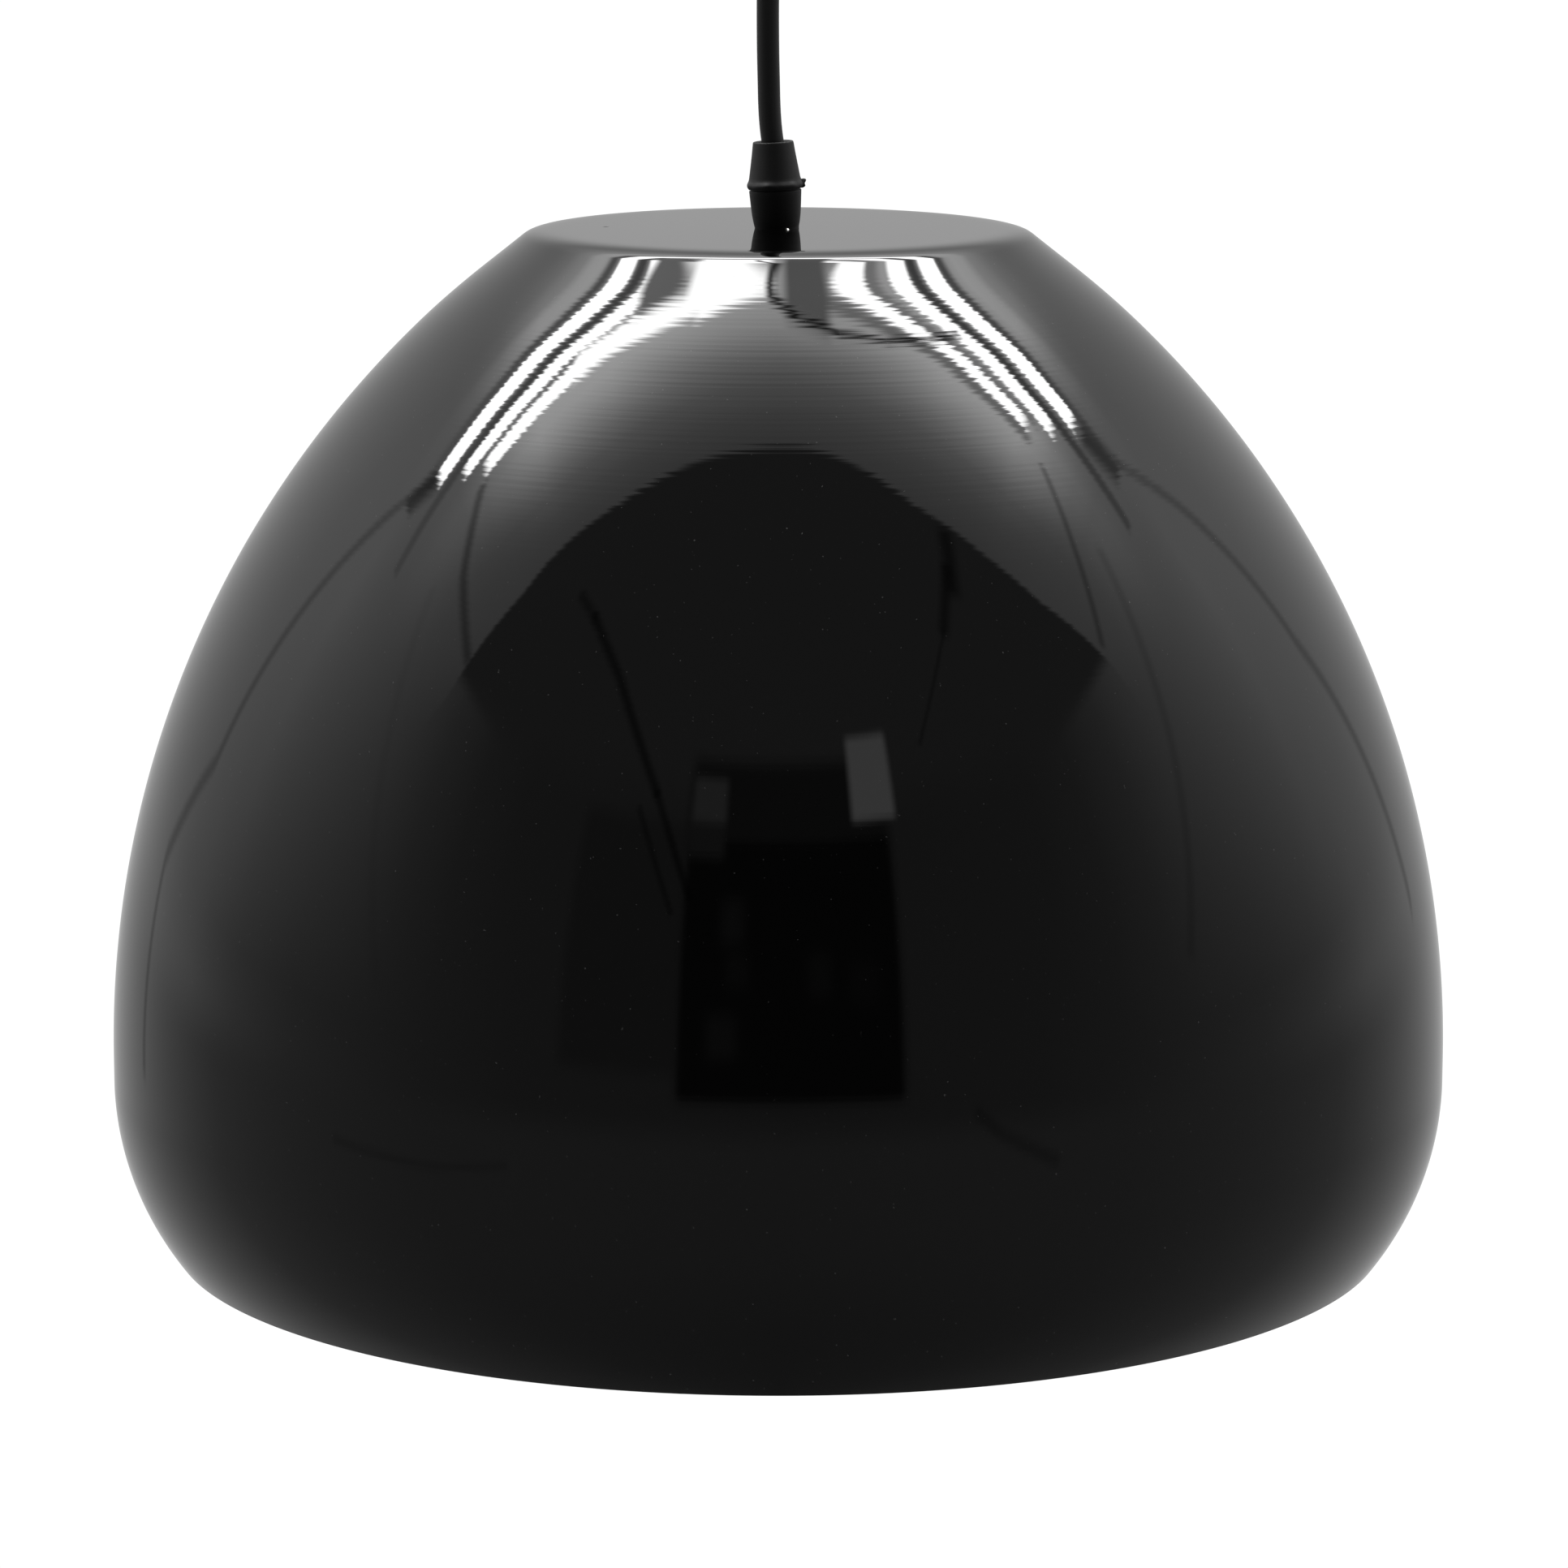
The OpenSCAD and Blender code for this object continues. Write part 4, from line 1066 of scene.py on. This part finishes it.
def make_holder_skirt():
    band_top, band_low = 27.2, 32.2
    outline = [(16.3, 24.5), (18.3, 24.5), (18.3, 26.3), (20.2, 26.3), (20.5, 26.6)]
    outline += [(20.5, depth) for depth in evenly(band_top, band_low, 6)]
    outline += [(20.3, 32.8), (19.7, 33.4), (19.5, 34.4), (19.2, 46), (18.9, 55.6), (18.5, 57.2),
        (17.7, 58.0), (15.3, 58.0), (14.9, 57.6), (14.9, 56.0), (16.3, 56.0)]

    def ribs(angle, r, z):
        depth = (SHADE_TOP - z) / MM
        if r < 20.4 * MM or not band_top - 0.1 < depth < band_low + 0.1:
            return r, z
        return r - 0.45 * MM * (0.5 + 0.5 * math.cos(48 * angle)), z

    skirt = lathe("holder_skirt_shell", down(outline), ["phenolic"], steps=288, sharp=35,
        shape=ribs)
    add(skirt, "lamp", "phenolic", "holder_skirt")


def make_holder_insert():
    outline = rounded([(1.5, 24.0), (16.1, 24.0), (16.1, 36.0), (14.3, 36.0), (14.3, 33.0),
        (1.5, 33.0)], 0.5)
    insert = lathe("porcelain_insert", down(outline), ["porcelain"], steps=96, sharp=50)
    add(insert, "lamp", "porcelain", "holder_insert")


BULB_PITCH = 3.6


def round_thread(out, rest_r, top=0, low=math.inf):
    """An Edison thread's rounded wave, standing out from rest_r between two depths, in mm."""
    def shape(angle, r, z):
        depth = (SHADE_TOP - z) / MM
        if r < rest_r * MM or not top < depth < low:
            return r, z
        wave = 0.5 + 0.5 * math.cos(TURN * (z / MM / BULB_PITCH) + angle)
        return r + out * MM * wave, z
    return shape


def make_screw_shell():
    top, low = 33.1, 55.6
    levels = evenly(top, low, 60)
    outline = [(13.55, depth) for depth in levels] + [(14.3, low + 0.35)]
    outline += [(13.95, depth) for depth in reversed(levels)]
    outline += [(14.0, top - 0.1), (8.0, top - 0.1), (8.0, top + 0.5), (13.0, top + 0.5)]
    shell = lathe("brass_shell", down(outline), ["brass"], steps=96, sharp=50,
        shape=round_thread(0.5, 13.4))
    add(shell, "lamp", "brass", "screw_shell")


# ---------------------------------------------------------------- bulb

def glass_side(inset):
    """Half the bulb's glass: a neck that flares into a round globe, in millimetres down."""
    join_a = math.radians(40)
    neck_r, globe_r = 12 - inset, 30 - inset
    flare, globe_at = 67.5, 114
    join_r = globe_r * math.cos(join_a)
    height = globe_at - globe_r * math.sin(join_a) - flare
    points = [(neck_r, 61.5)]
    for f in evenly(0, 1, 24)[:-1]:
        ease = f * f * (3 - 2 * f)
        pull = height * math.tan(join_a) * f * f * (1 - f)
        points.append((neck_r + (join_r - neck_r) * ease - pull, flare + height * f))
    for angle in evenly(join_a, -math.pi / 2, 36):
        points.append((max(0, globe_r * math.cos(angle)), globe_at - globe_r * math.sin(angle)))
    points[-1] = (0, globe_at + globe_r)
    return points


def make_bulb_glass():
    outline = glass_side(0) + list(reversed(glass_side(0.8)))
    glass = lathe("globe", down(outline), ["clear_glass"], steps=128, sharp=60)
    add(glass, "bulb", "clear_glass", "bulb_glass")


def make_bulb_cap():
    """The threaded cap, the black glass under it and the contact at its tip."""
    top, low = 46.0, 62.5
    outline = [(12.05, 65.5), (12.5, 65.3), (12.45, 63.4)]
    outline += [(12.2, depth) for depth in evenly(low, top, 56)]
    outline += [(11.6, 45.3), (9.9, 44.6), (9.5, 44.7), (9.5, 46.4), (11.3, 47.0), (11.3, 58.0),
        (11.6, 59.2), (12.05, 60)]
    cap = lathe("bulb_cap", down(outline), ["nickel"], steps=96, sharp=50,
        shape=round_thread(0.75, 12.15, top - 0.1, low + 0.1))
    add(cap, "bulb", "nickel", "bulb_screw_cap")
    ring = rounded([(0, 40.4), (4.4, 40.4), (4.7, 41.0), (6.6, 42.6), (9.2, 44.2), (9.2, 45.8),
        (0, 45.8)], 0.3)
    insulator = lathe("bulb_black_glass", down(ring), ["black_glass"], steps=96)
    add(insulator, "bulb", "black_glass", "bulb_insulator")
    tip = [(0, 39.0), (1.5, 39.05), (2.6, 39.4), (3.5, 39.9), (4.1, 40.45), (4.1, 41.2),
        (0, 41.2)]
    contact = lathe("bulb_contact_tip", down(tip), ["solder"], steps=64)
    add(contact, "bulb", "solder", "bulb_contact")


PRESS_LOW = 85.5
STICKS = 4
STICK_AT = 7
STICK_TOP = PRESS_LOW + 8.2
STICK_LOW = STICK_TOP + 28
ROD_LOW = PRESS_LOW + 36
WIRE_R = 0.3 * MM


def make_bulb_inside():
    """The glass stem, the filament sticks round it, and the rod and wires that hold them."""
    stem = [(0, 62.0), (10.6, 62.0), (10.9, 62.4), (10.9, 62.9), (8.0, 64.4), (6.0, 67.5),
        (5.0, 71.5), (4.3, 78), (3.8, 83.2), (3.0, 85.3), (0, PRESS_LOW)]
    glass = lathe("bulb_inner_stem", down(stem), ["clear_glass"], steps=64)
    add(glass, "bulb", "clear_glass", "bulb_stem")
    stick = [(0, STICK_TOP), (0.55, STICK_TOP + 0.05), (0.9, STICK_TOP + 0.7),
        (0.95, STICK_TOP + 1.4), (0.95, STICK_LOW - 1.4), (0.9, STICK_LOW - 0.7),
        (0.55, STICK_LOW - 0.05), (0, STICK_LOW)]
    upper = [(1.6, PRESS_LOW), (1.8, PRESS_LOW + 3), (5.6, PRESS_LOW + 5.6), (STICK_AT, STICK_TOP)]
    lower = [(STICK_AT, STICK_LOW), (6.6, STICK_LOW + 0.3), (3, STICK_LOW + 0.6),
        (0.4, STICK_LOW + 0.6)]
    sticks, wires = [], []
    for index in range(STICKS):
        turned = Matrix.Rotation(TURN * index / STICKS, 4, "Z")
        at = Matrix.Translation(turned @ Vector((STICK_AT * MM, 0, 0)))
        sticks.append(lathe("filament", down(stick), ["phosphor"], steps=24, at=at))
        wires += [[turned @ Vector((r, 0, z)) for r, z in down(wire)] for wire in (upper, lower)]
    add(join_into("filaments", sticks), "bulb", "phosphor", "bulb_filaments")
    rod = [(0, PRESS_LOW - 0.4), (0.4, PRESS_LOW - 0.4), (0.4, ROD_LOW), (1.4, ROD_LOW + 0.2),
        (7.4, ROD_LOW + 0.3), (7.6, ROD_LOW + 0.6), (7.4, ROD_LOW + 0.9), (0, ROD_LOW + 0.9)]
    support = lathe("filament_rod", down(rod), ["nickel"], steps=48)
    leads = join_into("filament_leads",
        [support] + [wire_mesh("lead", route, WIRE_R) for route in wires])
    add(leads, "bulb", "nickel", "bulb_leads")


def wire_mesh(name, route, radius):
    """A thin bent wire as a mesh."""
    curve = smooth_curve(name, route, radius, "nickel", resolution=6)
    shown = curve.evaluated_get(bpy.context.evaluated_depsgraph_get())
    mesh = bpy.data.meshes.new_from_object(shown)
    bpy.data.objects.remove(curve)
    mesh.materials.clear()
    mesh.materials.append(MATERIALS["nickel"])
    made = bpy.data.objects.new(name, mesh)
    bpy.context.scene.collection.objects.link(made)
    return made


# ---------------------------------------------------------------- the rest of the frame

BEVELS = {"ceiling_bracket": 0.25, "terminal_block": 0.4, "hex_nut": 0.3, "canopy_nut": 0.3}
SMALL_BEVEL = 0.08


def dress_nodes():
    """Each CAD piece still showing gets the finish of its material slot."""
    slots = {part["node"]: part["material_slot"] for part in frame["record"]["subparts"]}
    for name, node in frame["nodes"].items():
        if node.hide_render:
            continue
        for slot in node.material_slots:
            slot.material = MATERIALS[slots[name]]
        edge = node.modifiers.new("edge", "BEVEL")
        edge.width = BEVELS.get(name, SMALL_BEVEL) * MM
        edge.segments = 2
        edge.limit_method = "ANGLE"
        edge.angle_limit = math.radians(40)


def keep_canopy_out_of_reflections():
    """The photographed lamp hung far below its ceiling, so its canopy isn't mirrored in it."""
    for piece in bpy.data.objects:
        if set(body_of(piece) or []) & {"canopy", "canopy_cap"}:
            piece.visible_glossy = False


# ---------------------------------------------------------------- floor

FLOOR_Z = -2.05
FLOOR_R = 2.4
FLOOR_SIDES = 96


def make_floor():
    """A plain pale disc below the lamp, which hangs well clear of it."""
    made, shader = material("floor", (0.86, 0.86, 0.86), 0.7)
    set_color(shader, noise(made.node_tree, 4, detail=4), (0.85, 0.85, 0.85), (0.88, 0.88, 0.88))
    MATERIALS["floor"] = made
    angles = [TURN * k / FLOOR_SIDES for k in range(FLOOR_SIDES)]
    points = [(FLOOR_R * math.cos(a), FLOOR_R * math.sin(a), FLOOR_Z) for a in angles]
    floor = new_object("floor", points, [tuple(range(FLOOR_SIDES))], ["floor"])
    floor.visible_glossy = False


# ---------------------------------------------------------------- build

make_camera()
make_world()
make_materials()
make_cord()
make_shade()
make_grips()
make_top_washer()
make_cup()
make_side_screws()
make_stems()
make_cores()
make_holder_cap()
make_holder_skirt()
make_holder_insert()
make_screw_shell()
make_bulb_glass()
make_bulb_cap()
make_bulb_inside()
dress_nodes()
keep_canopy_out_of_reflections()
make_floor()
